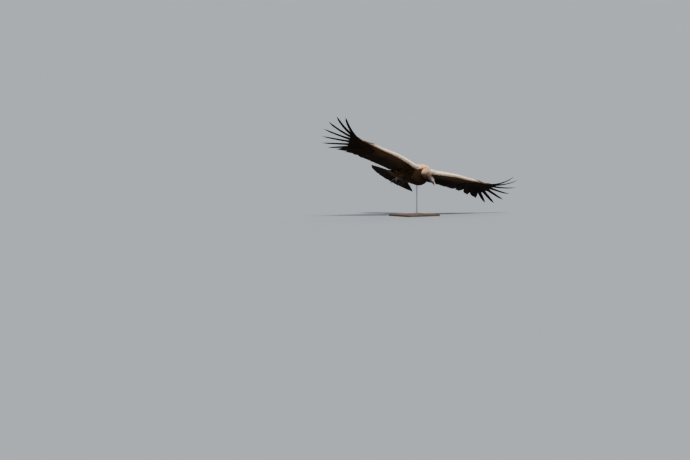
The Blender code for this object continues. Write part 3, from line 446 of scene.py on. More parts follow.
class Plumes:
    """A batch of feathers, locks or bristles of one kind, gathered one by one and made into one mesh.

    Each runs on a Bezier course from root to tip. Its section has ribs from the trailing edge, -1, to the
    leading edge, 1, and its two faces close at the edges and at both ends.
    """

    def __init__(self, stations, ribs, outline, camber, sweep, thick, shaft=0.0, *, seed):
        self.t, self.ribs = np.array(stations), np.array(ribs)
        self.outline = np.interp(self.t, [row[0] for row in outline], [row[1] for row in outline])
        self.camber, self.sweep, self.thick, self.shaft = camber, sweep, thick, shaft
        self.dice = np.random.default_rng(seed)
        self.rows = []

    def add(self, root, tip, start, end, up, width, place, colour, lead=0.5, roll=0.0, outline=None):
        self.rows.append({
            "root": root, "tip": tip, "start": start, "end": end, "up": up, "width": width, "place": place,
            "colour": colour, "lead": lead,
            "roll": np.broadcast_to(roll, self.t.shape),
            "outline": self.outline if outline is None else outline,
        })

    def column(self, key):
        return np.array([row[key] for row in self.rows], dtype=float)

    def splits(self, count, depth):
        """Narrows one edge at single stations, where the barbs of a vane have come apart."""
        feathers, stations, ribs = len(self.rows), len(self.t), len(self.ribs)
        keep = np.ones((feathers, stations, ribs))
        if not count:
            return keep
        away = np.clip((np.abs(self.ribs) - 0.25) / 0.75, 0, 1)
        for n in range(feathers):
            for _ in range(self.dice.poisson(count)):
                station = self.dice.integers(stations // 4, stations - 1)
                edge = (np.sign(self.ribs) == self.dice.choice((-1, 1))) * away
                keep[n, station] *= 1 - edge * depth * self.dice.uniform(0.3, 1.0)
        return keep

    def points(self, count, depth):
        t, s = self.t[None, :, None], self.ribs
        root, tip = self.column("root")[:, None], self.column("tip")[:, None]
        length = np.linalg.norm(tip - root, axis=-1, keepdims=True)
        near = root + unit(self.column("start"))[:, None] * length / 3
        far = tip - unit(self.column("end"))[:, None] * length / 3
        u = 1 - t
        line = root * u**3 + near * 3 * u * u * t + far * 3 * u * t * t + tip * t**3
        along = unit((near - root) * u * u + (far - near) * 2 * u * t + (tip - far) * t * t)
        side = unit(np.cross(along, np.broadcast_to(self.column("up")[:, None], along.shape)))
        above = np.cross(side, along)
        roll = self.column("roll")[..., None]
        across = side * np.cos(roll) - above * np.sin(roll)
        lift = above * np.cos(roll) + side * np.sin(roll)
        lead = self.column("lead")[:, None, None]
        reach = self.column("width")[:, None, None] * self.column("outline")[:, :, None]
        reach = reach * np.where(s > 0, lead, 1 - lead) * self.splits(count, depth)
        flat = s * reach
        ahead = self.sweep * np.abs(flat) * (1 - self.t[None, :, None] ** 6)
        down = self.camber * np.abs(s) ** 2 * reach
        middle = line[:, :, None] + across[:, :, None] * flat[..., None]
        middle = middle + along[:, :, None] * ahead[..., None] - lift[:, :, None] * down[..., None]
        fade = np.minimum(1.0, 6 * self.t * (1 - self.t))[None, :, None]
        body = self.thick / 2 * (1 - s**2) * fade + self.shaft * bell(s, 0, 0.045) * (1.15 - t) * fade
        body = np.broadcast_to(body, middle.shape[:3])[..., None] * lift[:, :, None]
        return middle + body, middle - body

    def pattern(self):
        """Quads of one feather, and for each the grid corner that each of its corners stands for."""
        top = np.arange(len(self.t) * len(self.ribs)).reshape(len(self.t), -1)
        under = top.copy()
        inner = under[1:-1, 1:-1]
        inner[:] = top.size + np.arange(inner.size).reshape(inner.shape)
        upper = quads(top)
        return (
            np.concatenate([upper, quads(under, turned=True)]),
            np.concatenate([upper, quads(top, turned=True)]),
        )

    def build(self, name, material, side=1, splits=0.0, depth=0.0, nodes=()):
        feathers = len(self.rows)
        top, bottom = self.points(splits, depth)
        inner = bottom[:, 1:-1, 1:-1].reshape(feathers, -1, 3)
        points = np.concatenate([top.reshape(feathers, -1, 3), inner], axis=1)
        per_feather = points.shape[1]
        faces, corners = self.pattern()
        starts = np.arange(feathers)[:, None, None] * per_feather
        grid_t, grid_s = np.meshgrid(self.t, self.ribs, indexing="ij")
        t, s = grid_t.ravel(), grid_s.ravel()
        length = np.linalg.norm(self.column("tip") - self.column("root"), axis=-1)
        width = self.column("width")
        vane = np.stack([
            (s[corners][None] * width[:, None, None] * 0.5 + 0.1) * 10,
            t[corners][None] * length[:, None, None] * 10 + self.dice.uniform(0, 3, (feathers, 1, 1)),
        ], axis=-1)
        patch = np.stack([s[corners] * 0.5, t[corners] - 0.5], axis=-1)[None] * 0.003
        bake = np.clip(patch + self.column("place")[:, None, None], 0.0, 1.0)
        edge = np.maximum(np.abs(grid_s), ease(0.72, 1.0, grid_t))
        per_point = [np.concatenate([g.ravel(), g[1:-1, 1:-1].ravel()]) for g in (edge, grid_t)]
        values = {
            "edge": np.tile(per_point[0], feathers),
            "along": np.tile(per_point[1], feathers),
            "wear": np.repeat(self.dice.uniform(0, 1, feathers), per_feather),
            "plume": np.repeat(self.column("colour"), per_feather, axis=0),
        }
        uvs = {"OFBake": bake.reshape(-1, 4, 2), "vane": vane.reshape(-1, 4, 2)}
        all_faces = (faces[None] + starts).reshape(-1, 4)
        mesh_object(name, points.reshape(-1, 3), all_faces, material, side, uvs, values, nodes)


# Wing surfaces


def wing_axes(x):
    """Leading-edge point, outward, backward and upward directions of the wing at x."""
    step = 0.004
    low, high = max(ROOT_X, x - step), min(HAND_TIP_X, x + step)
    if high <= low:
        low, high = (ROOT_X, ROOT_X + step) if x < ROOT_X else (HAND_TIP_X - step, HAND_TIP_X)
    rise = (curve_at(LEADING_EDGE, high) - curve_at(LEADING_EDGE, low)) / (high - low)
    droop = math.radians(between(WING_DROOP, x))
    back = Vector((0.0, math.cos(droop), -math.sin(droop)))
    out = Vector((1.0, 0.0, rise.z)).normalized()
    return curve_at(LEADING_EDGE, x), out, back, out.cross(back).normalized()


def arm_height(x, share):
    """Half depth of the arm's section at x, at this share of its chord."""
    depth = between(ARM_DEPTH, x)
    wing_section = 5 * (
        0.2969 * math.sqrt(share) - 0.1260 * share - 0.3516 * share**2 + 0.2843 * share**3 - 0.1036 * share**4
    )
    return depth * wing_section + min(REAR_DEPTH, depth * 0.6) / 2 * share


def arm_ring(x, at_x=None, grow=1.0):
    """Section of the fleshy arm in the plane X = x, or that section moved to at_x and made larger."""
    edge, _, back, _ = wing_axes(x)
    up = Vector((0.0, -back.z, back.y))
    chord = between(ARM_CHORD, x)
    top = [(s, arm_height(x, s) * grow) for s in ARM_SHARES]
    ring = [edge + back * (s * chord) + up * h for s, h in top]
    ring += [edge + back * (s * chord) - up * h * LOWER_DEPTH for s, h in reversed(top[1:])]
    ring.reverse()
    if at_x is not None:
        for p in ring:
            p.x = at_x
    return ring


def surface_point(x, share, height):
    """Point of the wing at x, at this share of the arm's chord, height above its middle."""
    edge, _, back, up = wing_axes(x)
    return edge + back * (share * between(ARM_CHORD, x)) + up * height


def coat_height(x, share, face):
    """Height of the plumage over the middle of the wing, on its upper face, 1, or its lower face, -1."""
    if share <= 1.0:
        height = arm_height(x, max(share, 0.0))
    else:
        fall = gain(0.0, 0.10, (share - 1.0) * between(ARM_CHORD, x))
        height = arm_height(x, 1.0) * (1 - fall) + VANE_DEPTH * fall
    return height * (1.0 if face > 0 else -LOWER_DEPTH)


def feather_lean(x):
    """Angle outwards from straight back at which the wing's small feathers lie at x."""
    return math.radians(SECONDARY_LEAN * ease(0.34, WRIST_X, x) + 38 * ease(WRIST_X + 0.03, HAND_TIP_X, x))


# Flight feathers


def secondary(x):
    """Course of the secondary whose root is at x, as root, tip, start, end and up."""
    _, out, back, up = wing_axes(x)
    lean = math.radians(SECONDARY_LEAN * gain(0.34, WRIST_X, x) + (5.0 if x > WRIST_X else 0.0))
    along = back * math.cos(lean) + out * math.sin(lean)
    root = surface_point(x, 1.0, 0.0) - along * 0.030
    length = (between(TRAILING_EDGE, x) - root.y) / along.y
    length *= 1 - 0.20 * gain(ROOT_X, 0.24, ROOT_X + 0.24 - x)
    return root, root + along * length - up * 0.02 * length, along, along - up * 0.06, up


def primary_root(i):
    """Root of primary i, with 0 beside the wrist."""
    share = i / (len(PRIMARY_TIPS) - 1)
    x = WRIST_X + 0.028 + (HAND_TIP_X - 0.040 - WRIST_X) * share
    return surface_point(x, 0.80 - 0.12 * share, 0.0)


def primary_start(i):
    """Direction in which primary i leaves the hand."""
    ahead = Vector(PRIMARY_TIPS[i]) - primary_root(i)
    flat = Vector((ahead.x, ahead.y, 0.0)).normalized()
    rise = math.radians(PRIMARY_START[i])
    return flat * math.cos(rise) + Vector((0, 0, math.sin(rise)))


def primary_plane(i):
    """Side and up directions square to primary i's start, and the roll that its neighbours give it."""
    start = primary_start(i)
    low, high = max(0, i - 1), min(len(PRIMARY_TIPS) - 1, i + 1)
    across = primary_root(high) + primary_start(high) * 0.2 - primary_root(low) - primary_start(low) * 0.2
    across = (across - start * across.dot(start)).normalized()
    level_side = start.cross(Vector((0, 0, 1))).normalized()
    level_up = level_side.cross(start)
    roll = -math.atan2(across.dot(level_up), across.dot(level_side)) - VANE_TILT
    return level_side, level_up, roll


def primary_outline(i, t):
    """Width of primary i along its length: broad by the wrist, further out notched to a finger."""
    start = ease(-0.02, 0.16, t) * 0.9 + 0.10
    if i < BROAD_PRIMARIES:
        return start * np.clip(1 - ease(0.62, 1.0, t) ** 1.3, 0.02, 1) ** 0.6
    free = PRIMARY_FREE[i]
    early = 0.84 if i > 6 else 1.0
    finger = FINGER_WIDTH * (1 - 0.26 * ease(free + 0.2, 0.94, t))
    width = early + (finger - early) * ease(free - 0.02, free + 0.14, t)
    return start * width * np.sqrt(np.clip(1 - ease(0.80, 1.0, t) ** 1.3, 0.012, 1))


# Kinds of feather: stations from root to tip, ribs across, widths along the length, and the thickness of
# vane and shaft
FLIGHT_STATIONS = np.concatenate([np.linspace(0, 0.9, 52), np.linspace(0.9, 1.0, 13)[1:]])
FLIGHT_RIBS = (-1.0, -0.86, -0.68, -0.48, -0.28, -0.09, -0.035, 0.0, 0.035, 0.09, 0.32, 0.58, 0.80, 1.0)
SECONDARY_OUTLINE = (
    (0.0, 0.12), (0.10, 0.55), (0.28, 0.94), (0.60, 1.0), (0.86, 0.98), (0.94, 0.82), (0.98, 0.55),
    (1.0, 0.12),
)
TAIL_OUTLINE = (
    (0.0, 0.10), (0.24, 0.52), (0.60, 0.90), (0.88, 1.0), (0.95, 0.92), (0.985, 0.66), (1.0, 0.20),
)
COVERT_OUTLINE = ((0.0, 0.42), (0.30, 0.90), (0.60, 1.0), (0.80, 0.90), (0.92, 0.62), (1.0, 0.10))
BODY_OUTLINE = ((0.0, 0.40), (0.35, 0.94), (0.62, 1.0), (0.82, 0.82), (0.93, 0.52), (1.0, 0.08))
COVERT_STATIONS = (0.0, 0.14, 0.28, 0.42, 0.55, 0.67, 0.78, 0.87, 0.94, 1.0)
COVERT_RIBS = (-1.0, -0.66, -0.32, -0.05, 0.0, 0.05, 0.34, 0.68, 1.0)
SMALL_STATIONS = (0.0, 0.25, 0.5, 0.72, 0.88, 1.0)
SMALL_RIBS = (-1.0, -0.5, 0.0, 0.5, 1.0)
BODY_STATIONS = (0.0, 0.20, 0.40, 0.58, 0.74, 0.87, 0.95, 1.0)
FLIGHT_BODY = (0.0007, 0.0011)
COVERT_BODY = (0.0006, 0.0006)
SMALL_THICK = 0.0004

# Great covert rows of the arm: count, share of the chord, length, width, height clear of the vanes, face
# and warmth
ARM_ROWS = (
    (23, 0.84, 0.155, 0.052, 0.0040, 1, 0.55),
    (25, 0.62, 0.105, 0.044, 0.0085, 1, 0.80),
    (22, 0.84, 0.135, 0.054, 0.0038, -1, 0.22),
    (24, 0.60, 0.100, 0.046, 0.0075, -1, 0.40),
)

# Covert rows of the hand, one feather to a primary: face, length, width, height, reach behind the root, share
HAND_ROWS = (
    (1, 0.150, 0.050, 0.0065, 0.014, 0.70),
    (1, 0.100, 0.042, 0.0105, 0.022, 0.50),
    (-1, 0.130, 0.052, 0.0065, 0.014, 0.70),
    (-1, 0.088, 0.044, 0.0105, 0.022, 0.50),
)
HAND_TAPER = 0.045

# Small wing feathers: reach of their rows behind the leading edge, size of the first row over the last,
# spacing, length, width, and how far out the first row leans
LESSER_REACH = 0.150
LESSER_SIZE = 0.42
LESSER_GAP = 0.0155
LESSER_LENGTH = 0.064
LESSER_WIDTH = 0.030
EDGE_LEAN = 60
SHOULDER_FROM = 0.062

# Feathers along the leading edge: how far back the rows behind them start, the heights of their own rows as
# shares of the arm's depth, spacing, length and width
EDGE_BARE = 0.004
EDGE_ROWS = (-0.30, -0.15, 0.0, 0.15, 0.30)
EDGE_GAP = 0.0086
EDGE_LENGTH = 0.046
EDGE_WIDTH = 0.0120

# Small body feathers: spacing, length and width
BODY_GAP = 0.0102
BODY_LENGTH = 0.068
BODY_WIDTH = 0.027

# Tail covert rows: count, height, length, width, face
TAIL_COVERT_ROWS = (
    (13, 0.012, 0.165, 0.046, 1),
    (12, 0.017, 0.125, 0.040, 1),
    (11, 0.021, 0.090, 0.036, 1),
    (12, -0.016, 0.175, 0.048, -1),
    (11, -0.021, 0.135, 0.042, -1),
    (10, -0.026, 0.095, 0.038, -1),
)

# Scapular rows: y of the root, length, width, height
SCAPULAR_ROWS = (
    (0.165, 0.245, 0.054, 0.006),
    (0.140, 0.190, 0.048, 0.014),
    (0.112, 0.145, 0.042, 0.023),
    (0.082, 0.110, 0.036, 0.031),
)
SCAPULAR_COLUMNS = 6
SCAPULAR_FROM = 0.054
SCAPULAR_GAP = 0.017


def wing_place(x, share, face):
    """Place on the unwrap of a wing: span along U, chord along V, with the lower face above the upper one."""
    u = 0.03 + 0.94 * (x - 0.08) / (HAND_TIP_X - 0.08)
    v = 0.04 + 0.40 * min(max(share, 0.0), 1.25) / 1.25
    return (min(max(u, 0.01), 0.99), v if face > 0 else v + 0.50)


def flight_feathers(side, word, material, dice):
    """The primaries, secondaries and tertials of one wing."""
    vanes = Plumes(FLIGHT_STATIONS, FLIGHT_RIBS, SECONDARY_OUTLINE, 0.11, 0.42, *FLIGHT_BODY, seed=31 + side)
    places = [WRIST_X + 0.004] + spread(FEATHERS_TO, FEATHERS_FROM, SECONDARIES + TERTIALS)
    for i, x in enumerate(places):
        root, tip, start, end, up = secondary(x)
        tip = tip + start * dice.uniform(-0.007, 0.004) + up * dice.uniform(-0.001, 0.001)
        width = SECONDARY_WIDTH * (1.0 if i <= SECONDARIES else TERTIAL_BREADTH)
        colour = blend(SOOT, UMBER, dice.uniform(0.25, 0.95))
        place = wing_place(x, 1.05, 1)
        vanes.add(root, tip, start, end, up, width, place, colour, 0.42, -VANE_TILT)
    t = vanes.t
    for i, width in enumerate(PRIMARY_WIDTH):
        root, tip, start = primary_root(i), Vector(PRIMARY_TIPS[i]), primary_start(i)
        end = tip - root - start * (tip - root).length * 0.55
        _, level_up, base_roll = primary_plane(i)
        free = PRIMARY_FREE[i]
        roll = base_roll + (math.radians(FINGER_ROLL[i]) - base_roll) * ease(free, free + 0.35, t)
        colour = blend(SOOT, UMBER, dice.uniform(0.0, 0.35))
        place = wing_place(root.x, 0.90, 1)
        lead = 0.42 - 0.014 * i
        vanes.add(root, tip, start, end, level_up, width, place, colour, lead, roll, primary_outline(i, t))
    vanes.build(f"flight_feathers_{word}", material, side, splits=7.0, depth=0.13)


def great_coverts(side, word, material, dice):
    """The long coverts of one wing, over and under the roots of its flight feathers, and its alula."""
    vanes = Plumes(COVERT_STATIONS, COVERT_RIBS, COVERT_OUTLINE, 0.14, 0.40, *COVERT_BODY, seed=41 + side)
    for count, share, length, width, clear, face, warm in ARM_ROWS:
        for x in spread(FEATHERS_TO + 0.004, ROOT_X + 0.012, count):
            x += dice.uniform(-0.003, 0.003)
            _, out, back, up = wing_axes(x)
            lean = feather_lean(x) * 0.8
            along = back * math.cos(lean) + out * math.sin(lean)
            reach = length * dice.uniform(0.93, 1.05)
            end_share = share + reach * math.cos(lean) / between(ARM_CHORD, x)
            root = surface_point(x, share, coat_height(x, share, face) * 0.72)
            top = max(abs(coat_height(x, end_share, face)), clear) * face + 0.0008 * face
            tip = surface_point(x + reach * math.sin(lean), end_share, top)
            dark, light = (UMBER, EARTH) if face > 0 else (SOOT, EARTH)
            colour = blend(dark, light, warm * dice.uniform(0.6, 1.2))
            place = wing_place(x, share, face)
            lift = up * face
            end = along - lift * 0.10
            vanes.add(root, tip, tip - root, end, lift, width, place, colour, 0.45, -VANE_TILT)
    for face, length, width, step, behind, share in HAND_ROWS:
        for i in range(len(PRIMARY_TIPS)):
            root, start = primary_root(i), primary_start(i)
            level_side, level_up, roll = primary_plane(i)
            up = level_up * math.cos(roll) + level_side * math.sin(roll)
            base = root + up * face * step * 0.45 - start * behind
            reach = length * dice.uniform(0.93, 1.05) * (1 - HAND_TAPER * i)
            tip = root + start * reach + up * face * step
            light, warm = (EARTH, 0.35) if face > 0 else (BARK, 0.20)
            colour = blend(SOOT, light, warm * dice.uniform(0.4, 1.3))
            place = wing_place(root.x, share, face)
            turn = roll if face > 0 else math.pi + roll
            slim = width * (1 - 0.03 * i)
            vanes.add(base, tip, tip - base, start, level_up, slim, place, colour, 0.45, turn)
    for i, (x, length) in enumerate(ALULA):
        _, out, back, up = wing_axes(x)
        along = (out + back * 0.20 - up * 0.03).normalized()
        root = surface_point(x, 0.10, 0.002 + ALULA_STEP * i)
        place = wing_place(x, 0.2 + 0.08 * i, 1)
        tip = root + along * length
        colour = blend(SOOT, UMBER, 0.4)
        vanes.add(root, tip, along, along + up * 0.05, up, ALULA_WIDTH, place, colour, 0.5, ALULA_ROLL)
    vanes.build(f"great_coverts_{word}", material, side, splits=1.2, depth=0.30)


def lesser_colour(x, share, face, dice):
    """Colour of a small wing feather: brown behind the leading edge above, dark below, and cream along the
    leading edge on both faces, painted light that stands for light falling on the edge.
    """
    if face > 0:
        colour = blend(EARTH, TAN, dice.uniform(0.15, 0.40) + 0.40 * (1 - gain(0.15, 0.60, share)))
        # painted light: the cream band along the top of the leading edge
        pale = 1 - gain(0.10, 0.32, share)
    else:
        rusty = 0.10 + 0.55 * gain(0.20, 0.40, x) * (1 - gain(0.10, 0.30, share))
        colour = blend(BARK, RUST, dice.uniform(0.0, 0.25) + rusty)
        colour = blend(SOOT, colour, 0.35 + 0.65 * gain(0.18, 0.40, x))
        # painted light: a cream strip along the front of the lower face, as bright as the lit edge above it
        pale = (1 - gain(0.03, 0.09, share)) * gain(0.10, 0.16, x)
    pale *= dice.uniform(0.75, 1.0) * (1 - 0.85 * gain(0.70, 0.86, x))
    colour = blend(colour, blend(PAINTED_LIGHT_CREAM, BUFF, dice.uniform(0.0, 0.6)), pale)
    return blend(colour, SOOT, 0.85 * gain(0.68, 0.90, x) * (0.35 + 0.65 * gain(0.0, 0.3, share)))


def lesser_coverts(side, word, material, dice):
    """The rows of small feathers that cover one wing's arm and hand, in one piece above and one below."""
    for face, place_word in ((1, "upper"), (-1, "under")):
        seed = 51 + side + 2 * face
        vanes = Plumes(SMALL_STATIONS, SMALL_RIBS, BODY_OUTLINE, 0.10, 0.45, SMALL_THICK, seed=seed)
        distance, row = EDGE_BARE, 0
        while distance < LESSER_REACH:
            size = LESSER_SIZE + (1 - LESSER_SIZE) * gain(0.0, 0.085, distance)
            gap = LESSER_GAP * size
            for x in np.arange(SHOULDER_FROM + 0.5 * gap * (row % 2), HAND_TIP_X - 0.012, gap):
                lesser_feather(vanes, x + dice.uniform(-0.25, 0.25) * gap, distance, size, face, dice)
            distance += gap * 0.82
            row += 1
        if face > 0:
            for row, height in enumerate(EDGE_ROWS):
                for x in np.arange(SHOULDER_FROM + 0.5 * EDGE_GAP * (row % 2), HAND_TIP_X - 0.010, EDGE_GAP):
                    edge_feather(vanes, x + dice.uniform(-0.2, 0.2) * EDGE_GAP, height, dice)
        vanes.build(f"{place_word}_coverts_{word}", material, side, splits=0.8, depth=0.40)


def edge_point(x, height):
    """Point of the leading edge's rounded front at x, this share of the arm's depth above its middle."""
    edge, _, back, up = wing_axes(x)
    depth = between(ARM_DEPTH, x)
    return edge + up * (height * depth) + back * ((height / 1.48) ** 2 * between(ARM_CHORD, x))


def edge_feather(vanes, x, height, dice):
    """Adds one of the small feathers that overlap outwards along the leading edge."""
    inner = min(max(x, ROOT_X), HAND_TIP_X - 0.004)
    shift = Vector((x - inner, 0, 0))
    _, _, back, up = wing_axes(inner)
    size = 0.60 + 0.40 * between(ARM_DEPTH, inner) / ARM_DEPTH[0][1]
    reach = EDGE_LENGTH * size * dice.uniform(0.85, 1.15)
    end_x = min(inner + reach, HAND_TIP_X)
    root = edge_point(inner, height) + back * 0.0012
    tip = edge_point(end_x, height * 1.6 + dice.uniform(-0.07, 0.07)) - back * dice.uniform(0.0004, 0.0016)
    normal = (up * height * 3 - back).normalized()
    start = tip - root + normal * reach * 0.12
    end = tip - root - normal * reach * 0.14
    # painted light: the leading edge's own feathers take the band's full cream
    colour = lesser_colour(inner, 0.0, 1, dice)
    width = EDGE_WIDTH * size * dice.uniform(0.85, 1.15)
    place = wing_place(x, 0.02 + 0.02 * height, 1)
    roll = dice.uniform(-0.2, 0.2)
    vanes.add(root + shift, tip + shift, start, end, normal, width, place, colour, 0.5, roll)


def lesser_feather(vanes, x, distance, size, face, dice):
    """Adds one small feather to a wing, this far behind the leading edge."""
    at = min(x, HAND_TIP_X - 0.006)
    inner = min(max(at, ROOT_X), HAND_TIP_X - 0.004)
    chord = between(ARM_CHORD, inner)
    share = distance * (chord / ARM_CHORD[0][1]) ** 0.35 / chord
    if share > 0.74:
        return
    _, _, back, up = wing_axes(inner)
    edge = 1 - gain(0.0, 0.16, share)
    lean = feather_lean(inner) + math.radians(EDGE_LEAN) * edge + dice.uniform(-0.14, 0.14)
    reach = LESSER_LENGTH * size * dice.uniform(0.85, 1.15) * (0.62 + 0.38 * chord / ARM_CHORD[0][1])
    end_share = share + reach * math.cos(lean) / chord
    end_x = min(inner + reach * math.sin(lean), HAND_TIP_X + 0.02)
    root = surface_point(inner, share, coat_height(inner, share, face) * (0.80 if share > 0.03 else 0.4))
    rise = dice.uniform(0.0004, 0.0020) * (0.35 + size)
    tip = surface_point(end_x, end_share, coat_height(min(end_x, HAND_TIP_X), end_share, face) + face * rise)
    shift = Vector((at - inner, 0, 0))
    normal = up * face
    if share < 0.10:
        normal = (normal * (0.25 + share * 7.5) - back * (1 - share * 10)).normalized()
    start = tip - root + normal * reach * 0.22
    end = tip - root - normal * reach * 0.22
    width = LESSER_WIDTH * size * dice.uniform(0.85, 1.15)
    colour = lesser_colour(inner, share, face, dice)
    place = wing_place(at, share, face)
    roll = dice.uniform(-0.14, 0.14)
    vanes.add(root + shift, tip + shift, start, end, normal, width, place, colour, 0.5, roll)


# Tail


def tail_turn(point):
    """Point of the tail after its twist about the tail's own middle line."""
    x, z = point.x, point.z - TAIL_Z
    angle = TAIL_TWIST * gain(TAIL_Y, TAIL_Y + 0.06, point.y)
    c, s = math.cos(angle), math.sin(angle)
    return Vector((x * c + z * s, point.y, TAIL_Z - x * s + z * c))


def tail_course(share, length, lift):
    """Root, tip, start, end, up and roll of a feather of the fan, share -1 to 1 across it."""
    fan = share * TAIL_SPREAD
    slope = TAIL_RISE - TAIL_ARCH * share * share
    along = heading(fan, slope)
    root = Vector((share * TAIL_ROOT_HALF, TAIL_Y + 0.018, TAIL_Z + lift))
    tip = root + along * length
    clear = Vector((0, 0.1, 0))
    start = tail_turn(root + along * 0.01 + clear) - tail_turn(root + clear)
    end = tail_turn(tip + (along - Vector((0, 0, 0.05))) * 0.01) - tail_turn(tip)
    up = Vector((math.sin(TAIL_TWIST), 0, math.cos(TAIL_TWIST)))
    roll = math.atan2(share * math.sin(TAIL_ARCH) * 1.6, 1.0)
    return tail_turn(root), tail_turn(tip), start, end, up, roll


def tail_feathers(material, covert_material, dice):
    """The fan of twelve tail feathers, and the coverts above and below its root."""
    fan = Plumes(FLIGHT_STATIONS, FLIGHT_RIBS, TAIL_OUTLINE, 0.09, 0.42, *FLIGHT_BODY, seed=61)
    half = TAIL_FEATHERS // 2
    for i in range(half):
        for side in (1, -1):
            share = side * (i + 0.5) / half * 0.96
            lift = -TAIL_STEP * (i + (0.5 if side < 0 else 0.0)) + 0.004
            reach = TAIL_LENGTH[i] * dice.uniform(0.985, 1.0)
            root, tip, start, end, up, roll = tail_course(share, reach, lift)
            lead = 0.5 + 0.10 * side if i else 0.5
            colour = blend(SOOT, UMBER, dice.uniform(0.0, 0.5))
            place = (0.5 + share * 0.45, 0.30 + 0.01 * i)
            fan.add(root, tip, start, end, up, TAIL_WIDTH, place, colour, lead, roll)
    fan.build("tail_feathers", material, splits=7.0, depth=0.13)
    coverts = Plumes(COVERT_STATIONS, COVERT_RIBS, COVERT_OUTLINE, 0.16, 0.40, *COVERT_BODY, seed=63)
    for r, (count, lift, length, width, face) in enumerate(TAIL_COVERT_ROWS):
        for k in range(count):
            share = -0.90 + 1.80 * (k + 0.25 * (r % 2)) / (count - 1)
            fall = -TAIL_STEP * abs(share) * half
            reach = length * dice.uniform(0.92, 1.05) * (1 - 0.16 * abs(share))
            root, tip, start, end, up, roll = tail_course(share, reach, (lift + fall) * 0.8)
            tip = tip - up * face * (0.006 + 0.004 * abs(share))
            warm = 0.45 if face > 0 else 0.8
            colour = blend(UMBER, EARTH, warm * dice.uniform(0.3, 1.2))
            place = (0.5 + share * 0.42, 0.12 + 0.04 * r if face > 0 else 0.55 + 0.04 * r)
            turn = roll if face > 0 else math.pi + roll
            coverts.add(root, tip, start, end - up * face * 0.004, up, width, place, colour, 0.5, turn)
    coverts.build("tail_coverts", covert_material, splits=1.0, depth=0.3)


# Body form

# Voxel size of the body's closed form, and the factor and passes of its smoothing
BODY_VOXEL = 0.0056
BODY_SMOOTHING = (0.6, 6)


def oval(centre, axis, up, width, above, below, count):
    """Oval of half widths and heights about centre, running right-handed about axis."""
    side = up.cross(axis)
    points = []
    for angle in round_angles(count):
        height = above if math.sin(angle) > 0 else below
        points.append(centre + side * width * math.cos(angle) + up * height * math.sin(angle))
    return points


def limb_rings(course, radii, count):
    """Round sections along a course of points."""
    course = [Vector(p) for p in course]
    rings = []
    for i, (p, r) in enumerate(zip(course, radii)):
        axis = (course[min(i + 1, len(course) - 1)] - course[max(i - 1, 0)]).normalized()
        side_way = axis.cross(Vector((0, 0, 1)))
        if side_way.length < 0.1:
            side_way = axis.cross(Vector((0, 1, 0)))
        up = side_way.normalized().cross(axis)
        rings.append(oval(p, axis, up, r, r, r, count))
    return rings


def body_rings():
    """Sections of every fleshy form that the plumage covers: torso, thighs, wings and tail root."""
    forms = []
    torso = []
    for y, z, width, above, below, tilt in rows_at(TORSO, np.linspace(TORSO[0][0], TORSO[-1][0], 30)):
        angle = math.radians(tilt)
        axis = Vector((0, math.cos(angle), math.sin(angle)))
        up = Vector((0, -math.sin(angle), math.cos(angle)))
        torso.append(oval(Vector((0, y, z)), axis, up, width, above, below, 40))
    forms.append(torso)
    tail = []
    for y, width, height in rows_at(TAIL_CORE, np.linspace(TAIL_Y - 0.02, TAIL_CORE[-1][0], 8)):
        twist = TAIL_TWIST * gain(TAIL_Y, TAIL_Y + 0.06, y)
        up = Vector((math.sin(twist), 0.0, math.cos(twist)))
        middle = Vector((0, y, TAIL_Z + 0.10 * (y - TAIL_Y)))
        tail.append(oval(middle, Vector((0, 1, 0)), up, width, height, height, 24))
    forms.append(tail)
    for side in (1, -1):
        wing = [arm_ring(ROOT_X, at_x=x, grow=grow) for x, grow in SHOULDER_STUB]
        wing += [arm_ring(x) for x in ARM_STATIONS[1:]]
        leg = limb_rings(THIGH, THIGH_RADII, 20)
        for rings in (wing, leg):
            if side < 0:
                rings = [[Vector((-p.x, p.y, p.z)) for p in reversed(ring)] for ring in rings]
            forms.append(rings)
    return forms


def body_mesh():
    """One closed, smoothed mesh around all fleshy forms, in the bird frame."""
    points, faces, start = [], [], 0
    for rings in body_rings():
        ring_points, ring_faces = tube_arrays(rings)
        points.append(ring_points)
        faces.append(ring_faces + start)
        start += len(ring_points)
    mesh = bpy.data.meshes.new("body_form")
    mesh.from_pydata(np.concatenate(points).tolist(), [], np.concatenate(faces).tolist())
    obj = placed("body_form", mesh)
    wrap = obj.modifiers.new("wrap", "REMESH")
    wrap.mode = "VOXEL"
    wrap.voxel_size = BODY_VOXEL
    even = obj.modifiers.new("even", "SMOOTH")
    even.factor, even.iterations = BODY_SMOOTHING
    graph = bpy.context.evaluated_depsgraph_get()
    graph.update()
    made = bpy.data.meshes.new_from_object(obj.evaluated_get(graph))
    bpy.data.objects.remove(obj, do_unlink=True)
    bpy.data.meshes.remove(mesh)
    count = len(made.vertices)
    points, normals = np.empty(count * 3), np.empty(count * 3)
    made.vertices.foreach_get("co", points)
    made.vertices.foreach_get("normal", normals)
    faces = [tuple(p.vertices) for p in made.polygons]
    return points.reshape(-1, 3), normals.reshape(-1, 3), faces


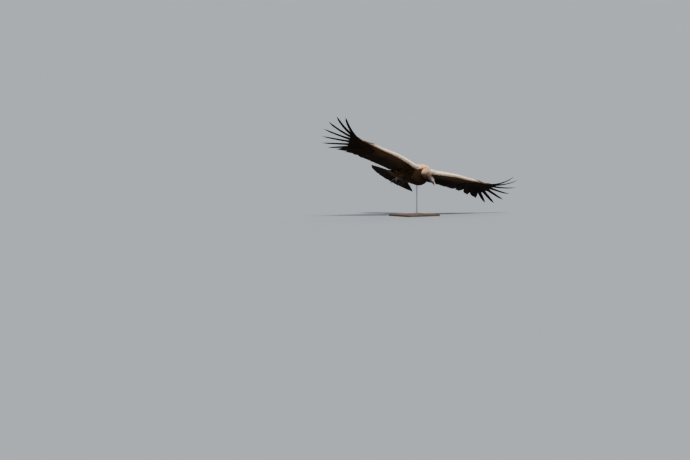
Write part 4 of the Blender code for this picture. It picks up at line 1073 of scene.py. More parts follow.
def plumage_colour(p, normal, dice=None):
    """Colour of the body plumage at a point of the bird frame, the same on skin and feathers. Where the
    surface faces up it turns to fawn and buff at the front of the back, partly the plumage's colour and
    partly painted light where light falls on the back; cream on the shoulders is painted light.
    """
    # partly painted light: the blend towards the back's colours follows how far the surface faces up
    above = gain(-0.05, 0.60, normal[2])
    back = blend(EARTH, FAWN, 0.05 + 0.95 * (1 - gain(0.03, 0.22, p[1])))
    back = blend(back, BUFF, 0.30 * (1 - gain(-0.03, 0.05, p[1])))
    back = blend(back, UMBER, 0.55 * gain(0.24, 0.46, p[1]))
    belly = blend(SOOT, BARK, 0.55 + 0.45 * gain(0.02, 0.22, p[1]))
    belly = blend(belly, EARTH, 0.42 * gain(0.16, 0.40, p[1]))
    belly = blend(belly, TAN, 0.14 * float(bell(p[1], 0.38, 0.07)))
    colour = blend(belly, back, above)
    # painted light: cream on the shoulders, carrying on the leading edge's band
    shoulder = gain(0.055, 0.085, abs(p[0])) * (1 - gain(0.015, 0.045, p[1]))
    colour = blend(colour, PAINTED_LIGHT_CREAM, shoulder * gain(-0.024, -0.004, p[2]))
    if dice is not None:
        share = dice.uniform(-0.13, 0.13)
        colour = tuple(c * (1 + share) for c in colour)
    return colour


def lie(p):
    """Direction in which the body feathers lie at a point of the bird frame."""
    side = 1.0 if p[0] >= 0 else -1.0
    out = gain(0.06, 0.15, abs(p[0]))
    flow = np.array((side * (0.10 + 0.35 * out), 1.0, 0.10))
    if p[1] < 0.03 and p[2] > -0.04:
        flow = flow + np.array((side * 1.6 * gain(0.05, 0.09, abs(p[0])), 0.0, 0.0))
    if p[1] < 0.03:
        flow = flow + np.array((p[0] * 6.0, 0.0, (p[2] + 0.06) * 6.0)) * (1 - gain(-0.05, 0.03, p[1]))
    if p[2] < -0.07 and 0.20 < p[1] < 0.40 and abs(p[0]) > 0.02:
        flow = flow + np.array((0.0, 0.0, -0.25))
    return unit(flow)


def body_places(points, dice):
    """Indices of skin points spread evenly over the feathered body, nearer together towards the neck."""
    forward, _ = neck_frame(NECK_DOWN)
    ahead = (points - np.array(NECK_AT)) @ np.array(forward)
    covered = (np.abs(points[:, 0]) < ROOT_X + 0.014) & (ahead < -0.002) & (points[:, 1] < 0.520)
    cells, kept = {}, []
    for index in dice.permutation(np.nonzero(covered)[0]):
        p = points[index]
        gap = BODY_GAP * (1 - 0.30 * (1 - gain(-0.02, 0.10, p[1])))
        key = tuple(int(c) for c in np.floor(p / BODY_GAP))
        beside = [
            q for i in (-1, 0, 1) for j in (-1, 0, 1) for k in (-1, 0, 1)
            for q in cells.get((key[0] + i, key[1] + j, key[2] + k), ())
        ]
        if all(((p - q) ** 2).sum() >= gap * gap for q in beside):
            cells.setdefault(key, []).append(p)
            kept.append(index)
    return kept


def body_feathers(points, normals, tree, material, dice):
    """Small overlapping feathers over torso, shoulders, thighs and the root of the tail, above and below."""
    above, below = (
        Plumes(BODY_STATIONS, SMALL_RIBS, BODY_OUTLINE, 0.08, 0.50, SMALL_THICK, seed=seed)
        for seed in (71, 72)
    )
    for index in body_places(points, dice):
        p, normal = points[index], normals[index]
        front = 1 - gain(-0.02, 0.10, p[1])
        flow = lie(p)
        flow = unit(flow - normal * (flow @ normal))
        flow = unit(flow + np.cross(normal, flow) * dice.uniform(-0.22, 0.22))
        length = BODY_LENGTH * (1 - 0.38 * front) * dice.uniform(0.85, 1.2)
        width = BODY_WIDTH * (1 - 0.32 * front) * dice.uniform(0.85, 1.15)
        ahead = Vector(p + flow * length)
        spot, spot_normal, _, _ = tree.find_nearest(ahead)
        if spot is None or (spot - ahead).length > length:
            continue
        root = Vector(p) - Vector(normal) * 0.0045
        tip = spot + spot_normal * dice.uniform(-0.0004, 0.0014)
        start = (tip - root) + Vector(normal) * 0.22 * length
        end = (tip - root).normalized() - spot_normal * 0.16
        angle = math.atan2(p[2] + 0.05, p[0]) / (2 * math.pi) % 1.0
        place = (0.03 + 0.94 * (p[1] + 0.06) / 0.60, 0.02 + 0.96 * angle)
        colour = plumage_colour(p, normal, dice)
        vanes = above if p[2] > -0.03 else below
        vanes.add(root, tip, start, end, normal, width, place, colour, 0.5, dice.uniform(-0.16, 0.16))
    above.build("body_feathers_above", material, splits=2.4, depth=0.35)
    below.build("body_feathers_below", material, splits=2.4, depth=0.35)


def scapulars(material, dice):
    """The long loose feathers that lie over each shoulder and the base of the wing."""
    vanes = Plumes(COVERT_STATIONS, COVERT_RIBS, COVERT_OUTLINE, 0.14, 0.40, *COVERT_BODY, seed=73)
    for side in (1, -1):
        for row, (y, length, width, z) in enumerate(SCAPULAR_ROWS):
            for k in range(SCAPULAR_COLUMNS):
                x = SCAPULAR_FROM + SCAPULAR_GAP * k + dice.uniform(-0.003, 0.003)
                root = Vector((side * x, y - 0.005 * k, z - 0.0030 * k))
                reach = length * dice.uniform(0.9, 1.04)
                tip = root + Vector((side * 0.015, reach, -0.016 - 0.03 * reach + 0.003 * row))
                colour = blend(UMBER, EARTH, dice.uniform(0.3, 1.0))
                colour = blend(colour, FAWN, 0.18 * row * dice.uniform(0.5, 1.0))
                place = (0.1 + 0.02 * k + 0.2 * row, 0.5 + side * (0.1 + 0.05 * k))
                up = Vector((side * 0.22, 0, 1)).normalized()
                start, end = Vector((0, 1, 0.08)), Vector((side * 0.08, 1, -0.1))
                vanes.add(root, tip, start, end, up, width, place, colour)
    vanes.build("scapulars", material, splits=1.2, depth=0.3)


def ruff_swirl(angle, share):
    """How far the down leans round the neck, alike in neighbouring wisps, about -1 to 1."""
    return 0.6 * math.sin(5 * angle + 8 * share) + 0.4 * math.sin(11 * angle - 9 * share + 1.3)


def ruff_down(material, dice):
    """The downy collar: soft curved wisps round the neck that bend out and back over the shoulders."""
    rear, front = (
        Plumes(WISP_STATIONS, HAIR_RIBS, WISP_OUTLINE, 0.45, 0.5, 0.0005, seed=seed)
        for seed in (81, 82)
    )
    forward, up = neck_frame(NECK_DOWN)
    side = Vector((1, 0, 0))
    course = np.array(RUFF_COURSE)
    for _ in range(WISPS):
        share, angle = dice.uniform(), dice.uniform(0, 2 * math.pi)
        ahead, radius, lay, back, length, pale = [np.interp(share, course[:, 0], c) for c in course[:, 1:].T]
        out = side * math.cos(angle) + up * math.sin(angle)
        around = up * math.cos(angle) - side * math.sin(angle)
        swirl = ruff_swirl(angle, share)
        turn = math.radians(lay + dice.normal(0, 7))
        start = out * math.cos(turn) + forward * math.sin(turn)
        start = start + around * (0.22 * swirl + dice.normal(0, 0.13))
        end = out * (0.9 - 0.6 * abs(back)) + forward * back
        end = end + around * (0.55 * swirl + dice.normal(0, 0.28))
        root = NECK_AT + forward * ahead + out * (radius - 0.006)
        reach = length * dice.uniform(0.70, 1.10)
        tip = root + (start * 0.40 + end.normalized() * 0.60).normalized() * reach
        edge = -0.55 + 0.55 * share
        lit = gain(edge - 0.30, edge + 0.35, out.z + dice.uniform(-0.08, 0.08))
        colour = blend(blend(EARTH, TAN, 0.55), BUFF, pale * dice.uniform(0.72, 1.0))
        colour = blend(blend(BARK, EARTH, dice.uniform(0.2, 0.9)), colour, lit)
        place = (0.02 + 0.96 * angle / (2 * math.pi), 0.03 + 0.94 * share)
        width = WISP_WIDTH * dice.uniform(0.6, 1.3)
        roll = dice.uniform(-0.4, 0.4)
        wisps = front if share > 0.5 else rear
        wisps.add(root, tip, start, end, start.cross(around), width, place, colour, 0.5, roll)
    front.build("ruff_down_front", material, splits=1.5, depth=0.60, nodes=["ruff"])
    rear.build("ruff_down_rear", material, splits=1.5, depth=0.60)


# Head


def neck_frame(down):
    """Forward and upward directions of something pointing this far below level."""
    return Vector((0, -math.cos(down), -math.sin(down))), Vector((0, -math.sin(down), math.cos(down)))


def head_point(a, height, across=0.0):
    """Point this far forward in the head, this high and this far to the side."""
    forward, up = neck_frame(HEAD_DOWN)
    return HEAD_AT + forward * a + up * height + Vector((across, 0, 0))


def ripple(a, angle, count, seed):
    """Smooth wandering values over the neck and head, between about -1 and 1, closed round the angle."""
    dice = np.random.default_rng(seed)
    total = np.zeros(np.broadcast(a, angle).shape)
    for _ in range(count):
        turns, scale = dice.integers(1, 7), dice.uniform(20, 170)
        total = total + np.sin(turns * angle + scale * a + dice.uniform(0, 2 * math.pi))
    return total / math.sqrt(count)


def face_relief(a, height, angle):
    """How far the bare skin stands out: folds of neck and throat, brow, lids, mouth, nostril and ear."""
    beside = ease(0.30, 0.55, np.abs(np.cos(angle)))
    folds = np.sin(2 * math.pi * (a / 0.0092 + 0.42 * ripple(a, angle, 7, 3)))
    relief = 0.0008 * folds * (1 - ease(-0.015, 0.030, a))
    creases = np.sin(2 * math.pi * (a / 0.0052 + 0.30 * ripple(a, angle, 6, 4)))
    relief += 0.0005 * creases * (1 - ease(0.02, 0.06, a))
    crown = ease(0.2, 0.8, np.sin(angle)) * (1 - ease(0.070, 0.092, a)) * ease(-0.01, 0.02, a)
    relief += 0.00035 * crown * np.sin(26 * angle + 2.2 * ripple(a, angle, 5, 5))
    throat = bell(np.abs(angle - 1.5 * math.pi), 0, 0.24)
    throat = throat * ease(-0.09, -0.04, a) * (1 - ease(0.058, 0.088, a))
    relief += throat * (0.0026 + 0.0010 * ripple(a, angle, 4, 6))
    da, dh = a - EYE_AT[0], height - EYE_AT[1]
    eye = np.sqrt((da / 1.14) ** 2 + (dh / 0.90) ** 2)
    for rise, distance, width in LIDS:
        relief += beside * rise * bell(eye, distance, width)
    relief += beside * 0.0016 * bell(dh, 0.0100, 0.0030) * bell(da, 0.002, 0.017)
    cheek = bell(a, 0.046, 0.016) * bell(height, -0.010, 0.008)
    lines = np.sin(2 * math.pi * (0.8 * a - height) / 0.0042 + 1.5 * ripple(a, angle, 4, 8))
    relief += beside * cheek * (0.0008 + 0.0004 * lines)
    low, level = MOUTH_AT
    gape = ease(low - 0.003, low + 0.006, a)
    relief -= beside * 0.0016 * gape * bell(height, level, 0.0008)
    lips = bell(height, level + 0.0023, 0.0011) + bell(height, level - 0.0023, 0.0011)
    relief += beside * 0.0005 * gape * lips
    relief += beside * 0.0007 * bell(np.hypot(a - low, height - level), 0.0030, 0.0012)
    relief -= 0.0007 * bell(a, 0.0945 + 0.25 * (height - 0.004) * (height > 0.004), 0.0011)
    na, nh = a - NOSTRIL_AT[0], height - NOSTRIL_AT[1]
    nostril = np.hypot(na / 0.0046, (nh - 0.12 * na) / 0.0021)
    ear = np.hypot((a - EAR_AT[0]) / 0.0040, (height - EAR_AT[1]) / 0.0052)
    for hole, depth, rim, width in ((nostril, 0.0046, 0.0005, 0.3), (ear, 0.0034, 0.0008, 0.35)):
        relief -= beside * depth * (1 - ease(0.5, 1.0, hole))
        relief += beside * rim * bell(hole, 1.35, width)
    opening = 1 - ease(0.0048, 0.0061, eye)
    return relief * (1 - opening * beside) - opening * beside * 0.0068


def face_colour(a, height, angle):
    """Colour of the bare skin: dusky, black round the eye, flushed at throat and ear, and ashen on the crown
    and brow, a painted highlight where light falls from above.
    """
    beside = ease(0.30, 0.55, np.abs(np.cos(angle)))
    base = np.array(DUSK) * (1 + 0.28 * ripple(a, angle, 9, 12))[..., None]
    eye = np.hypot(a - EYE_AT[0], height - EYE_AT[1])
    ear = np.hypot(a - EAR_AT[0], height - EAR_AT[1])
    warm = 0.45 * beside * bell(ear, 0.0, 0.011)
    warm = warm + 0.30 * bell(angle, 1.5 * math.pi, 0.45) * (1 - ease(0.07, 0.09, a))
    warm = warm + 0.16 * (1 - ease(-0.03, 0.02, a))
    black = np.clip(0.70 * beside * bell(eye, 0.006, 0.0065), 0, 1)
    # painted highlight: ashen grey on the crown and over the brow, where light falls from above
    crown = 0.80 * ease(0.35, 0.90, np.sin(angle)) * ease(0.046, 0.076, a)
    crown = crown + 0.35 * beside * bell(height, 0.0175, 0.0045) * bell(a, 0.066, 0.016)
    colour = base + (np.array(FLUSH) - base) * np.clip(warm, 0, 1)[..., None]
    colour = colour + (np.array(ASHEN) - colour) * np.clip(crown, 0, 1)[..., None]
    colour = colour + (np.array(NIGHT) - colour) * black[..., None]
    return np.clip(colour, 0.004, 1)


def head_skin():
    """Points, faces and colours of the bare neck and head as one fine grid."""
    reach = (HEAD_AT - NECK_AT).length
    places = np.concatenate([
        np.linspace(-reach, 0.0, NECK_RINGS)[:-1],
        np.linspace(0.0, BARE_END, HEAD_RINGS),
    ])
    angles = np.linspace(0, 2 * math.pi, HEAD_SIDES, endpoint=False)
    head_rows = rows_at(HEAD, np.clip(places, 0, None))
    rings, heights = [], []
    for a, row in zip(places, head_rows):
        _, rise, w, above, below = row
        if a < 0:
            t = 1 + a / reach
            _, up = neck_frame(NECK_DOWN + (HEAD_DOWN - NECK_DOWN) * t)
            radius = NECK_RADIUS + (HEAD[0][2] - NECK_RADIUS) * t - 0.0006
            centre, w, above, below, rise = NECK_AT.lerp(HEAD_AT, t), radius, radius, radius, 0.0
        else:
            _, up = neck_frame(HEAD_DOWN)
            centre = head_point(a, rise)
        tall = np.where(np.sin(angles) > 0, above, below)
        side_reach, up_reach = w * np.cos(angles), tall * np.sin(angles)
        relief = face_relief(np.full_like(angles, a), rise + up_reach, angles)
        shape = np.stack([side_reach + relief * np.cos(angles), up_reach + relief * np.sin(angles)])
        rings.append(
            np.array(centre) + shape[0][:, None] * np.array((1.0, 0, 0)) + shape[1][:, None] * np.array(up)
        )
        heights.append(rise + up_reach)
    a, angle = np.broadcast_arrays(places[:, None], angles[None])
    colours = face_colour(a, np.array(heights), angle)
    points, faces = tube_arrays(rings)
    colours = np.concatenate([colours[:1], colours, colours[-1:]]).reshape(-1, 3)
    return points, faces, colours


def bill_rings(upper_line, lower_line, half_widths, count, sides, pinch):
    """Sections between two profile lines, drawn narrower towards the upper one by pinch."""
    places = np.linspace(0, 1, count)
    knots = np.linspace(0, 1, len(upper_line))
    upper = rows_at([(k, *p) for k, p in zip(knots, upper_line)], places)
    lower = rows_at([(k, *p) for k, p in zip(knots, lower_line)], places)
    width = rows_at([(k, w) for k, w in zip(knots, half_widths)], places)
    rings = []
    for u, l, w in zip(upper, lower, width):
        top, bottom = head_point(u[1], u[2]), head_point(l[1], l[2])
        middle, rise = (top + bottom) / 2, (top - bottom) / 2
        ring = []
        for angle in round_angles(sides):
            narrow = 1 - pinch * math.sin(angle)
            ring.append(middle + Vector((w[1] * math.cos(angle) * narrow, 0, 0)) + rise * math.sin(angle))
        rings.append(ring)
    return rings


# Profile lines of the bill, as (forward, height) in the head
UPPER_CULMEN = (
    (0.1223, 0.0130), (0.1340, 0.0121), (0.1460, 0.0088), (0.1558, 0.0016), (0.1612, -0.0085),
    (0.1620, -0.0245),
)
UPPER_EDGE = (
    (0.1223, -0.0030), (0.1340, -0.0042), (0.1440, -0.0076), (0.1520, -0.0128), (0.1576, -0.0182),
    (0.1608, -0.0247),
)
UPPER_WIDTHS = (0.0128, 0.0115, 0.0096, 0.0070, 0.0043, 0.0007)
LOWER_TOP = ((0.1223, -0.0012), (0.1310, -0.0020), (0.1400, -0.0048), (0.1500, -0.0106))
LOWER_EDGE = ((0.1223, -0.0204), (0.1320, -0.0190), (0.1420, -0.0184), (0.1502, -0.0166))
LOWER_WIDTHS = (0.0116, 0.0104, 0.0080, 0.0026)
BILL_SIDES = 48

# Halves of the bill: piece, node, upper line, lower line, half widths, sections and pinch of the top
BILL_HALVES = (
    ("bill_upper_horn", "bill_upper", UPPER_CULMEN, UPPER_EDGE, UPPER_WIDTHS, 60, 0.22),
    ("bill_lower_horn", "bill_lower", LOWER_TOP, LOWER_EDGE, LOWER_WIDTHS, 36, -0.20),
)


def bill(material):
    """Both halves of the bill, the upper one hooked over the tip of the lower."""
    for name, node, upper, lower, widths, count, pinch in BILL_HALVES:
        rings = bill_rings(upper, lower, widths, count, BILL_SIDES, pinch)
        points, faces = tube_arrays(rings)
        along = np.repeat(np.concatenate([[0.0], np.linspace(0, 1, count), [1.0]]), BILL_SIDES)
        ridge = np.tile(np.sin(np.linspace(0, 2 * math.pi, BILL_SIDES, endpoint=False)), count + 2)
        ridge = ridge if node == "bill_upper" else np.full_like(ridge, -1.0)
        mesh_object(name, points, faces, material, values={"along": along, "ridge": ridge}, nodes=[node])


EYE_SEGMENTS = 40
LENS_RISE = 0.0006
LENS_WIDTH = 0.55


def eyes(material):
    """Eyeballs with their rings about the line of sight, which the iris and pupil follow."""
    for side, word in SIDES:
        a, height, across = EYE_AT
        centre = np.array(head_point(a, height, across))
        forward, up = neck_frame(HEAD_DOWN)
        gaze = (Vector((1, 0, 0)) + forward * 0.16).normalized()
        right = gaze.cross(up).normalized()
        above = right.cross(gaze)
        rings, angles = [], np.linspace(0.03, math.pi - 0.03, EYE_SEGMENTS)
        for polar in angles:
            radius = EYE_RADIUS - 0.0002 + LENS_RISE * float(bell(polar, 0, LENS_WIDTH))
            ring = []
            for turn in round_angles(EYE_SEGMENTS):
                spoke = right * math.cos(turn) + above * math.sin(turn)
                ring.append(centre + radius * np.array(gaze * math.cos(polar) + spoke * math.sin(polar)))
            rings.append(ring)
        points, faces = tube_arrays(rings)
        values = {"polar": np.repeat(np.concatenate([[0.0], angles, [math.pi]]), EYE_SEGMENTS)}
        mesh_object(f"eyeball_{word}", points, faces, material, side, values=values, nodes=[f"eye_{word}"])


def head_bristles(material, dice):
    """Short dark down that thinly covers a young bird's crown, nape and cheeks."""
    tufts = Plumes(BRISTLE_STATIONS, HAIR_RIBS, BRISTLE_OUTLINE, 0.3, 0.1, 0.0003, seed=91)
    forward, up = neck_frame(HEAD_DOWN)
    for _ in range(BRISTLES):
        a = dice.uniform(BRISTLES_FROM, BRISTLES_TO)
        angle = dice.uniform(0, 2 * math.pi)
        _, rise, w, above, below = rows_at(HEAD, [max(a, 0.0)])[0]
        tall = above if math.sin(angle) > 0 else below
        height = rise + tall * math.sin(angle)
        near_eye = math.hypot(a - EYE_AT[0], height - EYE_AT[1]) < 0.0125 and abs(math.cos(angle)) > 0.3
        near_ear = math.hypot(a - EAR_AT[0], height - EAR_AT[1]) < 0.008 and abs(math.cos(angle)) > 0.3
        near_mouth = a > 0.072 and abs(height - MOUTH_AT[1]) < 0.005
        if near_eye or near_ear or near_mouth:
            continue
        out = (Vector((math.cos(angle), 0, 0)) + up * math.sin(angle)).normalized()
        if a < 0:
            t = 1 + a / (HEAD_AT - NECK_AT).length
            w = tall = NECK_RADIUS + (HEAD[0][2] - NECK_RADIUS) * t
            centre = NECK_AT.lerp(HEAD_AT, t)
        else:
            centre = head_point(a, rise)
        root = centre + Vector((w * math.cos(angle), 0, 0)) + up * tall * math.sin(angle) - out * 0.0010
        length = BRISTLE_LENGTH * dice.uniform(0.6, 1.2) * (1 - 0.50 * gain(0.04, 0.085, a))
        sideways = out.cross(forward) * dice.uniform(-0.45, 0.45)
        way = -forward + out * dice.uniform(0.05, 0.20) + sideways
        tip = root + way.normalized() * length
        nape = 0.55 * (1 - gain(-0.045, 0.02, a)) * gain(-0.2, 0.6, math.sin(angle))
        colour = blend(blend(NIGHT, ASHEN, dice.uniform(0, 0.45)), TAN, nape * dice.uniform(0.4, 1.0))
        share = (a - BRISTLES_FROM) / (BRISTLES_TO - BRISTLES_FROM)
        place = (0.05 + 0.9 * share, 0.03 + 0.94 * angle / (2 * math.pi))
        tufts.add(root, tip, out * 0.5 + way.normalized(), way, out, BRISTLE_WIDTH, place, colour)
    tufts.build("head_down", material)


# Feet


def scaly_limb(course, radii, rings, sides, plate, swell=()):
    """A scaled limb: plates across its upper side, small round scales on the rest, swollen at its joints."""
    scale = plate * 0.62
    course = np.array([tuple(p) for p in course])
    steps = np.concatenate([[0], np.cumsum(np.linalg.norm(np.diff(course, axis=0), axis=1))])
    table = [(s, *p, r) for s, p, r in zip(steps, course, radii)]
    places = np.linspace(0, steps[-1], rings)
    rows = np.array(rows_at(table, places))[:, 1:]
    made = []
    for i, (s, row) in enumerate(zip(places, rows)):
        axis = Vector(rows[min(i + 1, rings - 1)][:3] - rows[max(i - 1, 0)][:3]).normalized()
        side_way = axis.cross(Vector((0, 0, 1))).normalized()
        up = side_way.cross(axis)
        right = up.cross(axis)
        radius = row[3] * (1 + sum(0.16 * float(bell(s / steps[-1], at, 0.05)) for at in swell))
        ring = []
        for angle in round_angles(sides):
            top = gain(0.25, 0.75, math.sin(angle))
            step = (s / plate + 0.06 * math.cos(2 * angle)) % 1.0
            ledge = (1 - step) ** 0.5 * gain(0.0, 0.12, step)
            row_of_scales = 7 * angle + (s // scale) * 1.57
            grain = abs(math.sin(math.pi * s / scale)) * abs(math.sin(row_of_scales))
            out = radius + SCALE_HEIGHT * (top * ledge + (1 - top) * 0.7 * grain ** 0.5)
            ring.append(Vector(row[:3]) + right * out * math.cos(angle) + up * out * math.sin(angle))
        made.append(ring)
    return tube_arrays(made)


def toe_course(yaw, length, fall):
    """Course of a toe from inside the foot's palm, curling slightly down."""
    yaw, fall = math.radians(yaw), math.radians(fall)
    course = [Vector(TARSUS[-1]) + TOE_FROM]
    for k in range(TOE_BONES):
        course.append(course[-1] + heading(yaw, fall - TOE_CURL * k) * length / TOE_BONES)
    return course


def foot_forms():
    """Scaled tarsus, palm and toes of the left foot, as (points, faces) pairs."""
    start = Vector(THIGH[-1]) - Vector((0, 0.02, -0.001))
    palm = [Vector(TARSUS[-1]) + Vector((0, back, rise)) for back, rise in PALM]
    forms = [
        scaly_limb((start,) + TARSUS, (THIGH_RADII[-1],) + TARSUS_RADII, 74, 36, 0.0052),
        scaly_limb(palm, PALM_RADII, 40, 40, 0.0046),
    ]
    for yaw, length, fall in DIGITS:
        joints = TOE_JOINTS if length > LONGEST_HALLUX else HALLUX_JOINTS
        rings = int(length / TOE_RING_GAP)
        forms.append(scaly_limb(toe_course(yaw, length, fall), TOE_RADII, rings, 32, 0.0042, joints))
    return forms


def claws(material):
    """Curved claws with blunt points."""
    shares = np.linspace(0, 1, CLAW_RINGS)
    values = {"along": np.repeat(np.concatenate([[0.0], shares, [1.0]]), CLAW_SIDES)}
    for side, word in SIDES:
        for number, toe in enumerate(DIGITS, start=1):
            course = toe_course(*toe)
            way = (course[-1] - course[-2]).normalized()
            start = course[-1] - way * 0.0015
            path = [start + way * ahead + Vector((0, 0, rise)) for ahead, rise in CLAW_COURSE]
            table = [(k / 4, *p, r) for k, (p, r) in enumerate(zip(path, CLAW_RADII))]
            rows = rows_at(table, shares)
            rings = limb_rings([row[1:4] for row in rows], [row[4] for row in rows], CLAW_SIDES)
            points, faces = tube_arrays(rings)
            nodes = [f"claw_{word}_{number}"]
            mesh_object(f"talon_{word}_{number}", points, faces, material, side, values=values, nodes=nodes)


# Skin


FLESH = (
    "torso", "neck", "head", "tail",
    "wing_left_arm", "wing_left_hand", "wing_right_arm", "wing_right_hand",
    "leg_left", "leg_right", "foot_left", "foot_right",
)
SKIN_INSET = 0.0035
SKIN_SHADE = 0.8


def skin(points, normals, faces, materials):
    """The one skin: body under the plumage, bare neck and head, scaled legs and feet."""
    inset = points - normals * SKIN_INSET
    colours = np.array([plumage_colour(p, n) for p, n in zip(points, normals)]) * SKIN_SHADE
    groups = [(inset, np.array(faces), colours, 0)]
    head_points, head_faces, head_colours = head_skin()
    groups.append((head_points, head_faces, head_colours, 1))
    for form_points, form_faces in foot_forms():
        tint = np.tile(np.array(SCUTE), (len(form_points), 1))
        groups.append((form_points, form_faces, tint, 2))
        groups.append((form_points * (-1.0, 1.0, 1.0), form_faces[:, ::-1], tint, 2))
    all_points = np.concatenate([g[0] for g in groups])
    starts = np.cumsum([0] + [len(g[0]) for g in groups[:-1]])
    all_faces = np.concatenate([g[1] + start for g, start in zip(groups, starts)])
    slots = np.concatenate([np.full(len(g[1]), g[3]) for g in groups])
    colours = np.concatenate([g[2] for g in groups])
    obj = mesh_object("skin", all_points, all_faces, materials[0], values={"plume": colours}, nodes=FLESH)
    for material in materials[1:]:
        obj.data.materials.append(material)
    obj.data.polygons.foreach_set("material_index", slots.astype(np.int32))


# Materials


class Surface:
    """A node material, with short calls for the nodes it is made of."""

    def __init__(self, name, roughness, **plain):
        self.material = bpy.data.materials.new(name)
        self.material.use_nodes = True
        self.tree = self.material.node_tree
        self.shader = self.tree.nodes["Principled BSDF"]
        self.shader.inputs["Roughness"].default_value = roughness
        for key, value in plain.items():
            self.shader.inputs[key.replace("_", " ").title().replace("Ior", "IOR")].default_value = value

    def node(self, kind, inputs=None, **settings):
        made = self.tree.nodes.new(kind)
        for key, value in settings.items():
            setattr(made, key, value)
        for key, value in (inputs or {}).items():
            self.put(value, made.inputs[key])
        return made

    def put(self, value, socket):
        if isinstance(value, bpy.types.NodeSocket):
            self.tree.links.new(value, socket)
        else:
            socket.default_value = value

    def value(self, name):
        return self.node("ShaderNodeAttribute", attribute_name=name).outputs["Fac"]

    def colour(self, name):
        return self.node("ShaderNodeAttribute", attribute_name=name).outputs["Color"]

    def place(self):
        return self.node("ShaderNodeTexCoord").outputs["Object"]

    def map(self, name):
        return self.node("ShaderNodeUVMap", uv_map=name).outputs["UV"]

    def stretch(self, vector, scale):
        return self.node("ShaderNodeMapping", {"Vector": vector, "Scale": scale}).outputs["Vector"]

    def noise(self, vector, scale, detail=3.0):
        inputs = {"Vector": vector, "Scale": scale, "Detail": detail, "Roughness": 0.55}
        return self.node("ShaderNodeTexNoise", inputs).outputs["Fac"]

    def bands(self, vector, scale, distortion):
        inputs = {"Vector": vector, "Scale": scale, "Distortion": distortion, "Detail": 1.0}
        return self.node("ShaderNodeTexWave", inputs, bands_direction="Y").outputs["Fac"]

    def cells(self, vector, scale):
        inputs = {"Vector": vector, "Scale": scale}
        return self.node("ShaderNodeTexVoronoi", inputs, feature="DISTANCE_TO_EDGE").outputs["Distance"]

    def math(self, operation, a, b):
        made = self.node("ShaderNodeMath", {0: a, 1: b}, operation=operation)
        return made.outputs["Value"]

    def span(self, value, low, high, to_low=0.0, to_high=1.0):
        inputs = {"Value": value, "From Min": low, "From Max": high, "To Min": to_low, "To Max": to_high}
        return self.node("ShaderNodeMapRange", inputs).outputs["Result"]

    def ramp(self, value, stops):
        made = self.node("ShaderNodeValToRGB", {"Fac": value})
        bar = made.color_ramp
        while len(bar.elements) < len(stops):
            bar.elements.new(0.5)
        for element, (at, colour) in zip(bar.elements, stops):
            element.position = at
            element.color = (*colour, 1.0)
        return made.outputs["Color"]

    def mix(self, factor, a, b, blend_type="MIX"):
        made = self.node("ShaderNodeMix", data_type="RGBA", blend_type=blend_type)
        self.put(factor, made.inputs[0])
        for value, socket in ((a, made.inputs[6]), (b, made.inputs[7])):
            if not isinstance(value, bpy.types.NodeSocket) and len(value) == 3:
                value = (*value, 1.0)
            self.put(value, socket)
        return made.outputs[2]

    def bump(self, height, strength, distance):
        made = self.node("ShaderNodeBump", {"Height": height, "Strength": strength, "Distance": distance})
        self.put(made.outputs["Normal"], self.shader.inputs["Normal"])

    def shade(self, colour, value, span, shares, tint):
        """The colour darkened by a tint, by the share that the value's place in the span gives."""
        return self.mix(self.span(value, *span, *shares), colour, tint, "MULTIPLY")

    def polish(self, value, span, shares):
        """Roughness that follows a value."""
        self.put(self.span(value, *span, *shares), self.shader.inputs["Roughness"])

    def paint(self, colour):
        self.put(colour, self.shader.inputs["Base Color"])
        return self.material


# Feather surfaces: name, roughness, colour and share of the worn fringe, fineness of the barbs and
# specular level
FEATHER_SURFACES = (
    ("flight_feather", 0.65, (0.034, 0.022, 0.014), 0.35, 20.0, 0.03),
    ("wing_covert", 0.80, (0.190, 0.115, 0.063), 0.28, 30.0, 0.05),
    ("body_feather", 0.90, (0.220, 0.125, 0.065), 0.12, 36.0, 0.04),
)


def feather_surface(name, roughness, fringe, fringe_share, barb, specular):
    """Feathers: barbs across the vane, a dark shaft, worn pale edges, a shade for each feather, and painted
    shade darkening each feather towards its root, where others overlap it.
    """
    s = Surface(name, roughness, specular_ior_level=specular)
    vane = s.map("vane")
    barbs = s.bands(vane, barb, 1.5)
    streaks = s.noise(s.stretch(vane, (5.0, 34.0, 1.0)), 3.0, 4.0)
    tint = s.ramp(s.value("wear"), ((0.0, (0.82, 0.81, 0.80)), (1.0, (1.15, 1.13, 1.10))))
    colour = s.mix(1.0, s.colour("plume"), tint, "MULTIPLY")
    colour = s.shade(colour, streaks, (0.35, 0.70), (0.0, 0.40), (0.56, 0.50, 0.45))
    colour = s.shade(colour, barbs, (0.0, 1.0), (0.0, 0.16), (0.40, 0.37, 0.34))
    ragged = s.span(s.noise(vane, 9.0), 0.35, 0.65, 0.3, 1.0)
    worn = s.math("MULTIPLY", s.span(s.value("edge"), 0.80, 1.0), ragged)
    colour = s.mix(s.math("MULTIPLY", worn, fringe_share), colour, fringe)
    # painted shade: darker towards each feather's root, where the feathers overlap
    colour = s.shade(colour, s.value("along"), (0.0, 0.30), (0.25, 0.0), (0.50, 0.44, 0.38))
    colour = s.mix(s.span(s.value("edge"), 0.02, 0.06, 0.45, 0.0), colour, (0.020, 0.013, 0.009))
    s.bump(s.math("ADD", barbs, s.math("MULTIPLY", streaks, 0.8)), 0.40, 0.0004)
    return s.paint(colour)


